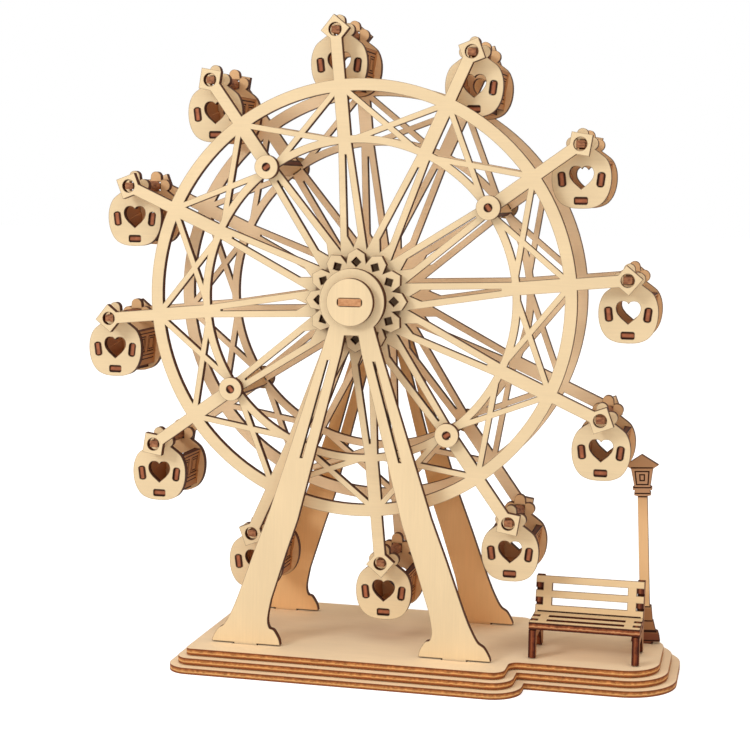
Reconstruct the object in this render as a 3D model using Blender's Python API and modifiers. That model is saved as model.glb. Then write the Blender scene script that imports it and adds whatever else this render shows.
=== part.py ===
"""A laser-cut plywood ferris wheel with twelve gondolas, a park bench and a street lamp.

The wheel turns about the Y axis on two round bushes. The origin is on the underside of the
base, below the axle. The front of the model faces -Y. Units are metres.
"""
import math

import bmesh
import bpy
from mathutils import Matrix, Vector

# Sheet and play
PLY = 0.0018
THIN_PLY = 0.0013
BASE_PLY = 0.0016
GAP = 0.0003
LAYER = PLY + GAP
BASE_TOP = 3 * BASE_PLY + 2 * GAP

# The axle's height sizes the wheel, whose gondolas pass just above the base, and the frames
AXLE_HEIGHT = 0.09324
BODY_BOTTOM = 0.0154
BASE_CLEARANCE = 0.00588
PIVOT_RADIUS = AXLE_HEIGHT - BASE_TOP - BODY_BOTTOM - BASE_CLEARANCE
FOOT_SPREAD_SHARE = 0.3861
FOOT_SPREAD = FOOT_SPREAD_SHARE * AXLE_HEIGHT

# The bench stands clear of the hanging gondolas, and the lamp at its right end
BENCH_WIDTH = 0.0272
SEAT_HEIGHT = 0.0093
BACK_HEIGHT = 0.0092
BACK_LEAN = math.radians(12)
BENCH_CLEARANCE = 0.00027
BENCH_TOP = BASE_TOP + SEAT_HEIGHT + GAP + BACK_HEIGHT * math.cos(BACK_LEAN)
BENCH_LEFT = math.sqrt((PIVOT_RADIUS + BODY_BOTTOM + BENCH_CLEARANCE) ** 2 - (AXLE_HEIGHT - BENCH_TOP) ** 2)
BENCH_X = BENCH_LEFT + BENCH_WIDTH / 2
LAMP_X = BENCH_LEFT + BENCH_WIDTH

# Base: three stepped layers, a square field under the wheel and a tongue for the bench
BASE_STEP = 0.0021
FIELD_MARGIN = 0.0044
FIELD_HALF_WIDTH = FOOT_SPREAD + FIELD_MARGIN
FIELD_HALF_DEPTH = 0.02665
FIELD_LEFT_CORNER = 0.0015
FIELD_RIGHT_CORNER = 0.0035
TONGUE_MARGIN = 0.0048
TONGUE_END = LAMP_X + TONGUE_MARGIN
TONGUE_HALF_DEPTH = 0.0163
TONGUE_CORNER = 0.009
NECK_FILLET = 0.0025
CORNER_STEPS = 5

# Wheel
WHEEL_HALF_WIDTH = 0.0126
SPOKES = 12
WHEEL_TURN = math.radians(-5.55)
HEAD_SIDE = 0.00515
PIVOT_HOLE = 0.00165
ARM_WIDTH = 0.0029
OUTER_RING_SHARE = 0.8173
OUTER_RING = OUTER_RING_SHARE * PIVOT_RADIUS
OUTER_RING_WIDTH = 0.0030
INNER_RING_SHARE = 0.61
INNER_RING = INNER_RING_SHARE * PIVOT_RADIUS
INNER_RING_WIDTH = 0.0019
SPOKE_WIDTH = 0.0033
SPOKE_ROOT = 0.01245
BRACE_WIDTH = 0.0014
BRACE_OUTER_SHARE = 0.88
BRACE_INNER_SHARE = 0.53
SLIT_START = 0.0132
SLIT_WIDEST = 0.0160
SLIT_END_SHARE = 0.541
SLIT_END = SLIT_END_SHARE * PIVOT_RADIUS
SLIT_WIDTH = 0.0028
SLIT_END_WIDTH = 0.0004
RING_STEPS = 3
HOLE_STEPS = 8

# Tie rods that join the two wheel sides, and the washers on their ends
ROD_RADIUS_SHARE = 0.6017
ROD_RADIUS = ROD_RADIUS_SHARE * PIVOT_RADIUS
ROD_WIDTH = 0.0045
ROD_TENON = 0.0020
ROD_SPOKES = (2, 5, 8, 11)
WASHER_RADIUS = 0.0030
WASHER_STEPS = 12

# Hub stack on the axle bar
AXLE_BAR_WIDTH = 0.0057
CAP_RADIUS = 0.00585
BUSH_RADIUS = 0.0079
BOSS_RADIUS = 0.0050
ROUND_STEPS = 24
PETALS = 12
PETAL_TIP = 0.0129
PETAL_SHOULDER = 0.0116
PETAL_WIDTH = 0.0042
PETAL_VALLEY = 0.0095
DIAMOND_RADIUS = 0.0096
DIAMOND_SIDE = 0.0018

# Standing frames
FRAME_HEAD = 0.0082
FOOT_TAB = 0.0060
FOOT_TAB_SHARE = 0.75
OPENING_TOP_WIDTH = 0.0036
OPENING_TOP_DROP = 0.0083
LEG_SLIT_WIDTH = 0.0007
# x over the foot spread, and height over the axle's height above the base
LEG_OUTER_SHARES = (
    (0.168, 0.926), (0.207, 0.862), (0.575, 0.395), (0.678, 0.284), (0.804, 0.141),
    (0.850, 0.095), (0.905, 0.053), (0.953, 0.038), (0.989, 0.014), (1.0, 0.0))
LEG_INNER_SHARES = (
    (0.497, 0.0), (0.508, 0.019), (0.544, 0.043), (0.578, 0.050), (0.589, 0.078),
    (0.564, 0.134), (0.452, 0.278), (0.373, 0.372), (0.0706, 0.859))
LEG_SLIT_SHARES = ((0.160, 0.834), (0.350, 0.552))

# Gondolas
GONDOLA_HALF_DEPTH = 0.0084
BODY_HALF_WIDTH = 0.0072
BODY_TOP = 0.0015
NECK_LOBE = 0.0016
NECK_LOBE_REACH = 0.0023
TOP_LOBE = 0.0014
TOP_LOBE_RISE = 0.0025
# x over the half width, and depth below the body's top over its height
BODY_SHARES = (
    (0.60, 0.040), (0.84, 0.150), (0.98, 0.340), (0.99, 0.560), (0.89, 0.760), (0.68, 0.910),
    (0.36, 0.985))
HEART_WIDTH = 0.0059
HEART_TOP = 0.0052
HEART_HEIGHT = 0.00555
# x over the heart's half width, and depth below its top over its height
HEART_SHARES = (
    (0.0, 0.126), (0.34, 0.0), (0.74, 0.03), (1.0, 0.270), (0.90, 0.520), (0.0, 1.0))
WALL_X = 0.0047
WALL_Z = 0.0084
WALL_HEIGHT = 0.0094
WALL_LEAN = math.radians(7)
WALL_TAB = 0.0030
FLOOR_Z = 0.0135
FLOOR_WIDTH = 0.0066
PIN_WIDTH = 0.0021
PIN_THICKNESS = 0.0017
PIN_BARREL = 0.0014
PIN_STEPS = 8
SLOT_CHAMFER_SHARE = 0.5

# Park bench
BENCH_FRONT = -0.0123
SEAT_DEPTH = 0.0110
SEAT_SLOT = 0.0018
SEAT_SLOT_SHARES = (0.27, 0.65)
SLAT_SLOT_LENGTH = 0.0190
END_NOTCH = 0.0021
BACK_BANDS = 5
BACK_WINDOW_BANDS = (1, 3)
LEG_WIDTH = 0.0020
RAIL_HEIGHT = 0.0020
REAR_LEG_REACH = 0.0022
POST_WIDTH = 0.0022

# Street lamp
LAMP_SETBACK = 0.0120
LAMP_Y = BENCH_FRONT + SEAT_DEPTH + LAMP_SETBACK
LAMP_LEAN = math.radians(-2.8)
LAMP_HEIGHT = 0.0486
LAMP_HALF_FOOT = 0.00365
LAMP_TAB = 0.0030
# half width over the foot's half width, and height over the lamp's height
LAMP_SHARES = (
    (1.0, 0.0), (0.95, 0.030), (0.86, 0.056), (0.70, 0.060), (0.56, 0.112), (0.51, 0.114),
    (0.45, 0.192), (0.335, 0.194), (0.335, 0.780), (0.57, 0.784), (0.57, 0.800), (0.42, 0.803),
    (0.42, 0.810), (0.66, 0.813), (0.66, 0.829), (0.55, 0.832), (0.75, 0.922), (0.79, 0.926),
    (1.15, 0.944), (0.0, 1.0))

FOOT_Z = BASE_TOP + GAP
SIDE_Y = WHEEL_HALF_WIDTH - PLY / 2
WASHER_Y = SIDE_Y + LAYER
PETAL_Y = SIDE_Y + LAYER
BUSH_Y = PETAL_Y + LAYER
FRAME_Y = BUSH_Y + LAYER
CAP_Y = FRAME_Y + LAYER
AXLE_HALF_LENGTH = CAP_Y + PLY / 2
SLOT_WIDTH = AXLE_BAR_WIDTH + 2 * GAP
SLOT_HEIGHT = PLY + 2 * GAP
STANDING_HEIGHT = AXLE_HEIGHT - FOOT_Z
SECTOR = 2 * math.pi / SPOKES
FACES_FRONT = Matrix.Rotation(math.pi / 2, 3, 'X')
FACES_SIDE = Matrix.Rotation(math.pi / 2, 3, 'Z') @ FACES_FRONT
LIES_FLAT = Matrix.Identity(3)
FLAT_ANGLE = math.radians(0.5)

FACE_COLOUR = (0.80, 0.60, 0.36, 1.0)
EDGE_COLOUR = (0.40, 0.17, 0.06, 1.0)


def clear_scene():
    """Remove the objects that the scene starts with."""
    for obj in list(bpy.data.objects):
        bpy.data.objects.remove(obj, do_unlink=True)


def new_collection(name):
    collection = bpy.data.collections.new(name)
    bpy.context.scene.collection.children.link(collection)
    return collection


def wood(name, colour):
    """Bare plywood in one colour."""
    material = bpy.data.materials.new(name)
    material.use_nodes = True
    shader = material.node_tree.nodes["Principled BSDF"]
    shader.inputs["Base Color"].default_value = colour
    shader.inputs["Roughness"].default_value = 0.6
    shader.inputs["Metallic"].default_value = 0.0
    return material


# Outlines, as lists of (x, y) points

def polar(radius, angle):
    """A point at an angle measured clockwise from straight up."""
    return radius * math.sin(angle), radius * math.cos(angle)


def circle(radius, steps, centre=(0, 0)):
    turns = [2 * math.pi * step / steps for step in range(steps)]
    return [(centre[0] + radius * math.cos(turn), centre[1] + radius * math.sin(turn)) for turn in turns]


def rectangle(width, height, centre=(0, 0)):
    x, y = width / 2, height / 2
    return [(centre[0] + sx * x, centre[1] + sy * y) for sx, sy in ((-1, -1), (1, -1), (1, 1), (-1, 1))]


def long_slot(length, width):
    """A slot along x whose four corners are cut off."""
    cut = SLOT_CHAMFER_SHARE * width / 2
    x, y = length / 2, width / 2
    return [(-x + cut, -y), (x - cut, -y), (x, -y + cut), (x, y - cut),
            (x - cut, y), (-x + cut, y), (-x, y - cut), (-x, -y + cut)]


def turned(points, angle, centre=(0, 0)):
    """The points turned clockwise about zero, then moved to the centre."""
    c, s = math.cos(angle), math.sin(angle)
    return [(centre[0] + x * c + y * s, centre[1] - x * s + y * c) for x, y in points]


def mirrored(half):
    """A closed outline from its right half, which starts and may end on the centre line."""
    left = [(-x, y) for x, y in reversed(half) if x > 0]
    return half + left


def rounded(corners):
    """An outline through (x, y, radius) corners, each rounded by an arc."""
    outline = []
    for index, (x, y, radius) in enumerate(corners):
        corner = Vector((x, y))
        before = Vector(corners[index - 1][:2]) - corner
        after = Vector(corners[(index + 1) % len(corners)][:2]) - corner
        if radius <= 0:
            outline.append((x, y))
            continue
        before.normalize()
        after.normalize()
        half = before.angle(after) / 2
        reach = radius / math.tan(half)
        start = corner + before * reach
        middle = corner + (before + after).normalized() * (radius / math.sin(half))
        arm = start - middle
        sweep = math.pi - 2 * half
        side = math.copysign(1, before.x * after.y - before.y * after.x)
        for step in range(CORNER_STEPS + 1):
            spoke = arm.copy()
            spoke.rotate(Matrix.Rotation(-side * sweep * step / CORNER_STEPS, 2))
            outline.append(tuple(middle + spoke))
    return outline


def clipped(points, start, end, offset):
    """The part of an outline that lies more than the offset to the left of a line."""
    line = Vector(end) - Vector(start)
    normal = Vector((-line.y, line.x)).normalized()

    def height(point):
        return (Vector(point) - Vector(start)).dot(normal) - offset

    kept = []
    for index, point in enumerate(points):
        previous = points[index - 1]
        above, below = height(point), height(previous)
        if (above > 0) != (below > 0):
            share = below / (below - above)
            kept.append(tuple(Vector(previous).lerp(Vector(point), share)))
        if above > 0:
            kept.append(point)
    return kept


# Solids

def place(obj, location, turn):
    obj.location = location
    obj.rotation_euler = turn.to_euler()


def sheet_mesh(name, outlines, thickness):
    """A flat sheet with holes: the first outline is the edge and the others are holes."""
    curve = bpy.data.curves.new(name, 'CURVE')
    curve.dimensions = '2D'
    curve.fill_mode = 'BOTH'
    curve.extrude = thickness / 2
    for outline in outlines:
        spline = curve.splines.new('POLY')
        spline.points.add(len(outline) - 1)
        for point, (x, y) in zip(spline.points, outline):
            point.co = (x, y, 0, 1)
        spline.use_cyclic_u = True
    flat = bpy.data.objects.new(name, curve)
    bpy.context.scene.collection.objects.link(flat)
    depsgraph = bpy.context.evaluated_depsgraph_get()
    mesh = bpy.data.meshes.new_from_object(flat.evaluated_get(depsgraph))
    bpy.data.objects.remove(flat, do_unlink=True)
    bpy.data.curves.remove(curve)
    welded(mesh)
    mesh.name = name
    return mesh


def welded(mesh):
    """Join the mesh's loose caps to its walls."""
    shape = bmesh.new()
    shape.from_mesh(mesh)
    bmesh.ops.remove_doubles(shape, verts=shape.verts, dist=PLY / 1000)
    bmesh.ops.recalc_face_normals(shape, faces=shape.faces)
    shape.to_mesh(mesh)
    shape.free()


def add_object(name, mesh, material, location, turn, collection, parent=None):
    obj = bpy.data.objects.new(name, mesh)
    if not mesh.materials:
        mesh.materials.append(material)
    place(obj, location, turn)
    obj.parent = parent
    collection.objects.link(obj)
    return obj


def sheet(name, outlines, thickness, material, location, turn, collection, parent=None):
    mesh = sheet_mesh(name, outlines, thickness)
    return add_object(name, mesh, material, location, turn, collection, parent)


def boolean(obj, cutter, operation):
    modifier = obj.modifiers.new(cutter.name, 'BOOLEAN')
    modifier.operation = operation
    modifier.solver = 'MANIFOLD'
    modifier.object = cutter
    cutter.hide_render = True
    cutter.display_type = 'WIRE'


def fused_mesh(name, pieces):
    """One closed mesh of overlapping solids, each given with its own matrix."""
    solids = []
    for mesh, matrix in pieces:
        moved = mesh.copy()
        moved.transform(matrix)
        solid = bpy.data.objects.new(name, moved)
        bpy.context.scene.collection.objects.link(solid)
        solids.append(solid)
    for solid in solids[1:]:
        boolean(solids[0], solid, 'UNION')
    depsgraph = bpy.context.evaluated_depsgraph_get()
    mesh = bpy.data.meshes.new_from_object(solids[0].evaluated_get(depsgraph))
    for solid in solids:
        bpy.data.objects.remove(solid, do_unlink=True)
    shape = bmesh.new()
    shape.from_mesh(mesh)
    bmesh.ops.dissolve_limit(shape, angle_limit=FLAT_ANGLE, verts=shape.verts, edges=shape.edges)
    shape.to_mesh(mesh)
    shape.free()
    mesh.name = name
    return mesh


def box_mesh(name, size):
    shape = bmesh.new()
    bmesh.ops.create_cube(shape, size=1.0)
    bmesh.ops.scale(shape, vec=size, verts=shape.verts)
    mesh = bpy.data.meshes.new(name)
    shape.to_mesh(mesh)
    shape.free()
    return mesh


# The base and the standing frames

def base_outline(step):
    """The edge of a base layer that stands out from the top layer by a step."""
    width, depth = FIELD_HALF_WIDTH + step, FIELD_HALF_DEPTH + step
    tongue, end = TONGUE_HALF_DEPTH + step, TONGUE_END + step
    left, right = FIELD_LEFT_CORNER + step, FIELD_RIGHT_CORNER + step
    neck = max(0, NECK_FILLET - step)
    front = [(-width, -depth, left), (width, -depth, right), (width, -tongue, neck),
             (end, -tongue, TONGUE_CORNER + step)]
    back = [(x, -y, radius) for x, y, radius in reversed(front)]
    return rounded(front + back)


def base_slots():
    """Slots in the top layer for the tabs of the two frames and of the lamp."""
    slots = []
    for x in (-FOOT_SPREAD * FOOT_TAB_SHARE, FOOT_SPREAD * FOOT_TAB_SHARE):
        for y in (-FRAME_Y, FRAME_Y):
            slots.append(rectangle(FOOT_TAB + 2 * GAP, SLOT_HEIGHT, (x, y)))
    slots.append(rectangle(LAMP_TAB + 2 * GAP, SLOT_HEIGHT, (LAMP_X, LAMP_Y)))
    return slots


def build_base(face, parts):
    layers = (("base_bottom_layer", 2), ("base_middle_layer", 1), ("base_top_layer", 0))
    for level, (name, steps) in enumerate(layers):
        outlines = [base_outline(steps * BASE_STEP)]
        if steps == 0:
            outlines += base_slots()
        z = BASE_PLY / 2 + level * (BASE_PLY + GAP)
        sheet(name, outlines, BASE_PLY, face, (0, 0, z), LIES_FLAT, parts)


def leg_points(shares):
    return [(x * FOOT_SPREAD, z * STANDING_HEIGHT - STANDING_HEIGHT) for x, z in shares]


def frame_outlines():
    """A standing frame with the axle at zero: a round head, two legs and flared feet."""
    outer, inner = leg_points(LEG_OUTER_SHARES), leg_points(LEG_INNER_SHARES)
    start = math.atan2(outer[0][0], outer[0][1])
    steps = ROUND_STEPS // 3
    head = [polar(FRAME_HEAD, start * step / steps) for step in range(steps + 1)]
    tab_x = FOOT_SPREAD * FOOT_TAB_SHARE
    foot, tip = -STANDING_HEIGHT, -STANDING_HEIGHT - GAP - BASE_PLY
    tab = [(tab_x + FOOT_TAB / 2, foot), (tab_x + FOOT_TAB / 2, tip),
           (tab_x - FOOT_TAB / 2, tip), (tab_x - FOOT_TAB / 2, foot)]
    top = [(OPENING_TOP_WIDTH / 2, -OPENING_TOP_DROP)]
    edge = mirrored(head + outer[1:] + tab + inner + top)
    holes = [long_slot(SLOT_WIDTH, SLOT_HEIGHT)]
    (x0, z0), (x1, z1) = leg_points(LEG_SLIT_SHARES)
    half = LEG_SLIT_WIDTH / 2
    slit = [(x0 - half, z0), (x0 + half, z0), (x1 + half, z1), (x1 - half, z1)]
    holes.append(slit)
    holes.append([(-x, z) for x, z in slit])
    return [edge] + holes


def build_frames(face, parts):
    mesh = sheet_mesh("standing_frame", frame_outlines(), PLY)
    for name, y in (("a_frame_front", -FRAME_Y), ("a_frame_rear", FRAME_Y)):
        add_object(name, mesh, face, (0, y, AXLE_HEIGHT), FACES_FRONT, parts)


# The hub stack, which stands still with the frames

def petal_outlines():
    """A rosette of pointed lobes, each with a diamond hole, round the bush's boss."""
    edge, holes = [], [circle(BOSS_RADIUS + GAP, ROUND_STEPS)]
    turn = 2 * math.pi / PETALS
    half = PETAL_WIDTH / 2
    lobe = [(-half, PETAL_SHOULDER), (0, PETAL_TIP), (half, PETAL_SHOULDER), polar(PETAL_VALLEY, turn / 2)]
    reach = DIAMOND_SIDE / math.sqrt(2)
    diamond = [(0, DIAMOND_RADIUS - reach), (reach, DIAMOND_RADIUS), (0, DIAMOND_RADIUS + reach),
               (-reach, DIAMOND_RADIUS)]
    for index in range(PETALS):
        edge += turned(lobe, index * turn)
        holes.append(turned(diamond, index * turn))
    return [edge] + holes


def build_bush(name, side, face, parts, cutters):
    """A round bush: a flange behind the frame, and a boss through the petal disc and the wheel side."""
    boss = -PLY / 2 - 2 * LAYER
    profile = ((0, PLY / 2), (BUSH_RADIUS, PLY / 2), (BUSH_RADIUS, -PLY / 2), (BOSS_RADIUS, -PLY / 2),
               (BOSS_RADIUS, boss), (0, boss))
    shape = bmesh.new()
    points = [shape.verts.new((r, 0, z)) for r, z in profile]
    for start, end in zip(points, points[1:]):
        shape.edges.new((start, end))
    mesh = bpy.data.meshes.new(name)
    shape.to_mesh(mesh)
    shape.free()
    turn = Matrix.Rotation(-side * math.pi / 2, 3, 'X')
    bush = add_object(name, mesh, face, (0, side * BUSH_Y, AXLE_HEIGHT), turn, parts)
    screw = bush.modifiers.new("round", 'SCREW')
    screw.steps = ROUND_STEPS
    screw.render_steps = ROUND_STEPS
    screw.use_merge_vertices = True
    screw.merge_threshold = PLY / 1000
    cutter_mesh = sheet_mesh(name + "_slot", [long_slot(SLOT_WIDTH, SLOT_HEIGHT)], 6 * LAYER)
    cutter = add_object(name + "_slot", cutter_mesh, face, (0, side * BUSH_Y, AXLE_HEIGHT), FACES_FRONT,
                        cutters)
    boolean(bush, cutter, 'DIFFERENCE')


def build_hub(face, edge, parts, cutters):
    bar = box_mesh("axle_bar", (AXLE_BAR_WIDTH, 2 * AXLE_HALF_LENGTH, PLY))
    add_object("axle_bar", bar, edge, (0, 0, AXLE_HEIGHT), LIES_FLAT, parts)
    cap = sheet_mesh("axle_cap", [circle(CAP_RADIUS, ROUND_STEPS), long_slot(SLOT_WIDTH, SLOT_HEIGHT)], PLY)
    petals = sheet_mesh("petal_disc", petal_outlines(), PLY)
    for end, side in (("front", -1), ("rear", 1)):
        add_object("axle_cap_" + end, cap, face, (0, side * CAP_Y, AXLE_HEIGHT), FACES_FRONT, parts)
        add_object("petal_disc_" + end, petals, face, (0, side * PETAL_Y, AXLE_HEIGHT), FACES_FRONT, parts)
        build_bush("hub_bush_" + end, side, face, parts, cutters)


# The wheel

def rim_outline():
    """The wheel side's outer edge: ring arcs between arms that end in square heads."""
    arm, corner = ARM_WIDTH / 2, HEAD_SIDE / math.sqrt(2)
    root = math.asin(arm / OUTER_RING)
    neck = PIVOT_RADIUS - corner + arm
    head = [(-arm, neck), (-corner, PIVOT_RADIUS), (0, PIVOT_RADIUS + corner), (corner, PIVOT_RADIUS), (arm, neck)]
    arc = [polar(OUTER_RING, root + (SECTOR - 2 * root) * step / RING_STEPS) for step in range(RING_STEPS + 1)]
    outline = []
    for index in range(SPOKES):
        outline += turned(head + arc, index * SECTOR)
    return outline


def band_window():
    """The whole window between the rings and two spokes, centred on straight up."""
    inner, outer, half = INNER_RING, OUTER_RING - OUTER_RING_WIDTH, SPOKE_WIDTH / 2
    low = SECTOR / 2 - math.asin(half / inner)
    high = SECTOR / 2 - math.asin(half / outer)
    bottom = [polar(inner, low - 2 * low * step / RING_STEPS) for step in range(RING_STEPS + 1)]
    top = [polar(outer, 2 * high * step / RING_STEPS - high) for step in range(RING_STEPS + 1)]
    return bottom + top, low, high


def braced_windows():
    """The four openings that a crossed pair of braces leaves in that window."""
    window, low, high = band_window()
    outer, inner = OUTER_RING - OUTER_RING_WIDTH, INNER_RING
    turn_out, turn_in = SECTOR / 2 * BRACE_OUTER_SHARE, SECTOR / 2 * BRACE_INNER_SHARE
    falling = (polar(outer, -turn_out), polar(inner, turn_in))
    rising = (polar(inner, -turn_in), polar(outer, turn_out))
    half = BRACE_WIDTH / 2
    openings = []
    for first in (falling, falling[::-1]):
        for second in (rising, rising[::-1]):
            openings.append(clipped(clipped(window, *first, half), *second, half))
    return openings


def spoke_window():
    """The opening between two spokes inside the inner ring, centred on straight up."""
    ring, half = INNER_RING - INNER_RING_WIDTH, SPOKE_WIDTH / 2
    spread = SECTOR / 2 - math.asin(half / ring)
    apex = (0, SPOKE_ROOT / math.cos(SECTOR / 2))
    return [apex] + [polar(ring, 2 * spread * step / RING_STEPS - spread) for step in range(RING_STEPS + 1)]


def wheel_side_outlines():
    outlines = [rim_outline(), circle(BOSS_RADIUS + GAP, ROUND_STEPS)]
    slit = [(0, SLIT_START), (SLIT_WIDTH / 2, SLIT_WIDEST), (SLIT_END_WIDTH / 2, SLIT_END),
            (-SLIT_END_WIDTH / 2, SLIT_END), (-SLIT_WIDTH / 2, SLIT_WIDEST)]
    between = braced_windows() + [spoke_window()]
    for index in range(SPOKES):
        on_spoke = [slit, circle(PIVOT_HOLE, HOLE_STEPS, (0, PIVOT_RADIUS))]
        if index in ROD_SPOKES:
            on_spoke.append(rectangle(ROD_TENON + 2 * GAP, SLOT_HEIGHT, (0, ROD_RADIUS)))
        outlines += [turned(shape, index * SECTOR) for shape in on_spoke]
        outlines += [turned(shape, (index + 0.5) * SECTOR) for shape in between]
    return outlines


def spoke_place(index, radius, y):
    """Where a spoke reaches a radius, and the turn that faces along it."""
    angle = WHEEL_TURN + index * SECTOR
    x, z = polar(radius, angle)
    return (x, y, AXLE_HEIGHT + z), Matrix.Rotation(angle, 3, 'Y')


def rod_outline():
    """A tie rod seen from the hub: a wide bar between the sides and a tenon at each end."""
    bar, tenon = ROD_WIDTH / 2, ROD_TENON / 2
    shoulder, tip = WHEEL_HALF_WIDTH - PLY - GAP, WASHER_Y + PLY / 2 + GAP
    quarter = [(tenon, tip), (tenon, shoulder), (bar, shoulder)]
    right = quarter + [(x, -y) for x, y in reversed(quarter)]
    return right + [(-x, -y) for x, y in right]


def tie_rod_mesh():
    """A tie rod with the round washers that are glued on its two tenons."""
    rod = sheet_mesh("tie_rod_bar", [rod_outline()], PLY)
    washer = sheet_mesh("washer", [circle(WASHER_RADIUS, WASHER_STEPS)], PLY)
    ends = [Matrix.Translation((0, side * WASHER_Y, 0)) @ FACES_FRONT.to_4x4() for side in (-1, 1)]
    return fused_mesh("tie_rod", [(rod, Matrix.Identity(4))] + [(washer, end) for end in ends])


def build_wheel(face, edge, parts, hub):
    side_mesh = sheet_mesh("wheel_side", wheel_side_outlines(), PLY)
    turn = Matrix.Rotation(WHEEL_TURN, 3, 'Y')
    for name, y in (("wheel_side_front", -SIDE_Y), ("wheel_side_rear", SIDE_Y)):
        add_object(name, side_mesh, face, (0, y, 0), turn @ FACES_FRONT, parts, hub)
    rod = tie_rod_mesh()
    for number, index in enumerate(ROD_SPOKES, start=1):
        (x, y, z), facing = spoke_place(index, ROD_RADIUS, 0)
        add_object(f"tie_rod_{number}", rod, edge, (x, y, z - AXLE_HEIGHT), facing, parts, hub)


# The gondolas

def gondola_edge():
    """The plate's edge with the pivot at zero: a three-lobed neck above a round body."""
    top = [(TOP_LOBE * math.sin(angle), TOP_LOBE_RISE + TOP_LOBE * math.cos(angle))
           for angle in (0, math.pi / 4, math.pi / 2)]
    low = NECK_LOBE / 8
    side = [(NECK_LOBE_REACH + NECK_LOBE * math.sin(angle), low + NECK_LOBE * math.cos(angle))
            for angle in (-math.pi / 6, math.pi / 6, math.pi / 2, math.pi * 5 / 6)]
    height = BODY_BOTTOM - BODY_TOP
    body = [(x * BODY_HALF_WIDTH, -BODY_TOP - z * height) for x, z in BODY_SHARES]
    return mirrored(top + side + body + [(0, -BODY_BOTTOM)])


def heart():
    half = HEART_WIDTH / 2
    return mirrored([(x * half, -HEART_TOP - z * HEART_HEIGHT) for x, z in HEART_SHARES])


def pin_slot():
    return rectangle(PIN_WIDTH + 2 * GAP, PIN_THICKNESS + 2 * GAP)


def front_plate_mesh():
    slot = rectangle(WALL_TAB + 2 * GAP, THIN_PLY + 2 * GAP)
    upright = math.pi / 2
    outlines = [gondola_edge(), heart(), pin_slot()]
    outlines.append(turned(slot, upright + WALL_LEAN, (WALL_X, -WALL_Z)))
    outlines.append(turned(slot, upright - WALL_LEAN, (-WALL_X, -WALL_Z)))
    outlines.append(turned(slot, 0, (0, -FLOOR_Z)))
    return sheet_mesh("gondola_front_plate", outlines, PLY)


def tabbed_panel(width):
    """A panel behind the front plate, as (y, width) points: its tabs pass both plates."""
    front, rear = GONDOLA_HALF_DEPTH - PLY - GAP, GONDOLA_HALF_DEPTH - PLY + GAP
    front_tip, rear_tip = GONDOLA_HALF_DEPTH, GONDOLA_HALF_DEPTH + GAP / 2
    tab, half = WALL_TAB / 2, width / 2
    upper = [(rear_tip, tab), (rear, tab), (rear, half), (-front, half), (-front, tab), (-front_tip, tab)]
    return upper + [(y, -x) for y, x in reversed(upper)]


def cabin_mesh():
    """The rear plate with the two side walls and the floor glued in it."""
    plate = sheet_mesh("rear_plate", [gondola_edge(), heart(), pin_slot()], PLY)
    wall = sheet_mesh("gondola_wall", [tabbed_panel(WALL_HEIGHT)], THIN_PLY)
    floor = sheet_mesh("gondola_floor", [tabbed_panel(FLOOR_WIDTH)], THIN_PLY)
    spot = Matrix.Translation((0, GONDOLA_HALF_DEPTH - PLY / 2, 0))
    pieces = [(plate, spot @ FACES_FRONT.to_4x4())]
    for side in (-1, 1):
        lean = Matrix.Rotation(side * WALL_LEAN, 3, 'Y')
        spot = Matrix.Translation((side * WALL_X, 0, -WALL_Z))
        pieces.append((wall, spot @ (lean @ FACES_SIDE).to_4x4()))
    flat = Matrix.Rotation(math.pi / 2, 4, 'Z')
    pieces.append((floor, Matrix.Translation((0, 0, -FLOOR_Z)) @ flat))
    return fused_mesh("gondola_cabin", pieces)


def pin_mesh():
    """The cross bar: a round barrel between the plates with flat ends in the wheel's holes."""
    length = 2 * (GONDOLA_HALF_DEPTH - PLY - GAP)
    barrel = sheet_mesh("pin_barrel", [circle(PIN_BARREL, PIN_STEPS)], length)
    ends = box_mesh("pin_ends", (PIN_WIDTH, 2 * (WHEEL_HALF_WIDTH + GAP), PIN_THICKNESS))
    pieces = [(barrel, FACES_FRONT.to_4x4()), (ends, Matrix.Identity(4))]
    return fused_mesh("gondola_pin", pieces)


def build_gondolas(face, edge, parts):
    plate, cabin, pin = front_plate_mesh(), cabin_mesh(), pin_mesh()
    for index in range(SPOKES):
        pivot, _ = spoke_place(index, PIVOT_RADIUS, 0)
        name = f"gondola_{index + 1:02d}"
        front = (pivot[0], PLY / 2 - GONDOLA_HALF_DEPTH, pivot[2])
        add_object(name + "_front_plate", plate, face, front, FACES_FRONT, parts)
        add_object(name + "_cabin", cabin, face, pivot, LIES_FLAT, parts)
        add_object(name + "_pin", pin, edge, pivot, LIES_FLAT, parts)


# The bench

def seat_outlines():
    """The seat seen from above, with the middle of its front edge at zero."""
    half, depth = BENCH_WIDTH / 2, SEAT_DEPTH
    notch, slot = END_NOTCH, SEAT_SLOT / 2
    right = [(half, 0)]
    for share in SEAT_SLOT_SHARES:
        y = share * depth
        right += [(half, y - slot), (half - notch, y - slot), (half - notch, y + slot), (half, y + slot)]
    right.append((half, depth))
    edge = right + [(-x, y) for x, y in reversed(right)]
    holes = [rectangle(SLAT_SLOT_LENGTH, SEAT_SLOT, (0, share * depth)) for share in SEAT_SLOT_SHARES]
    return [edge] + holes


def back_outlines():
    """The back seen from the front, with the middle of its lower edge at zero."""
    half, band = BENCH_WIDTH / 2, BACK_HEIGHT / BACK_BANDS
    right, holes = [(half, 0)], []
    for index in BACK_WINDOW_BANDS:
        low, high = index * band, (index + 1) * band
        right += [(half, low), (half - END_NOTCH, low), (half - END_NOTCH, high), (half, high)]
        holes.append(rectangle(SLAT_SLOT_LENGTH, band, (0, (low + high) / 2)))
    right.append((half, BACK_HEIGHT))
    return [right + [(-x, z) for x, z in reversed(right)]] + holes


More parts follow.
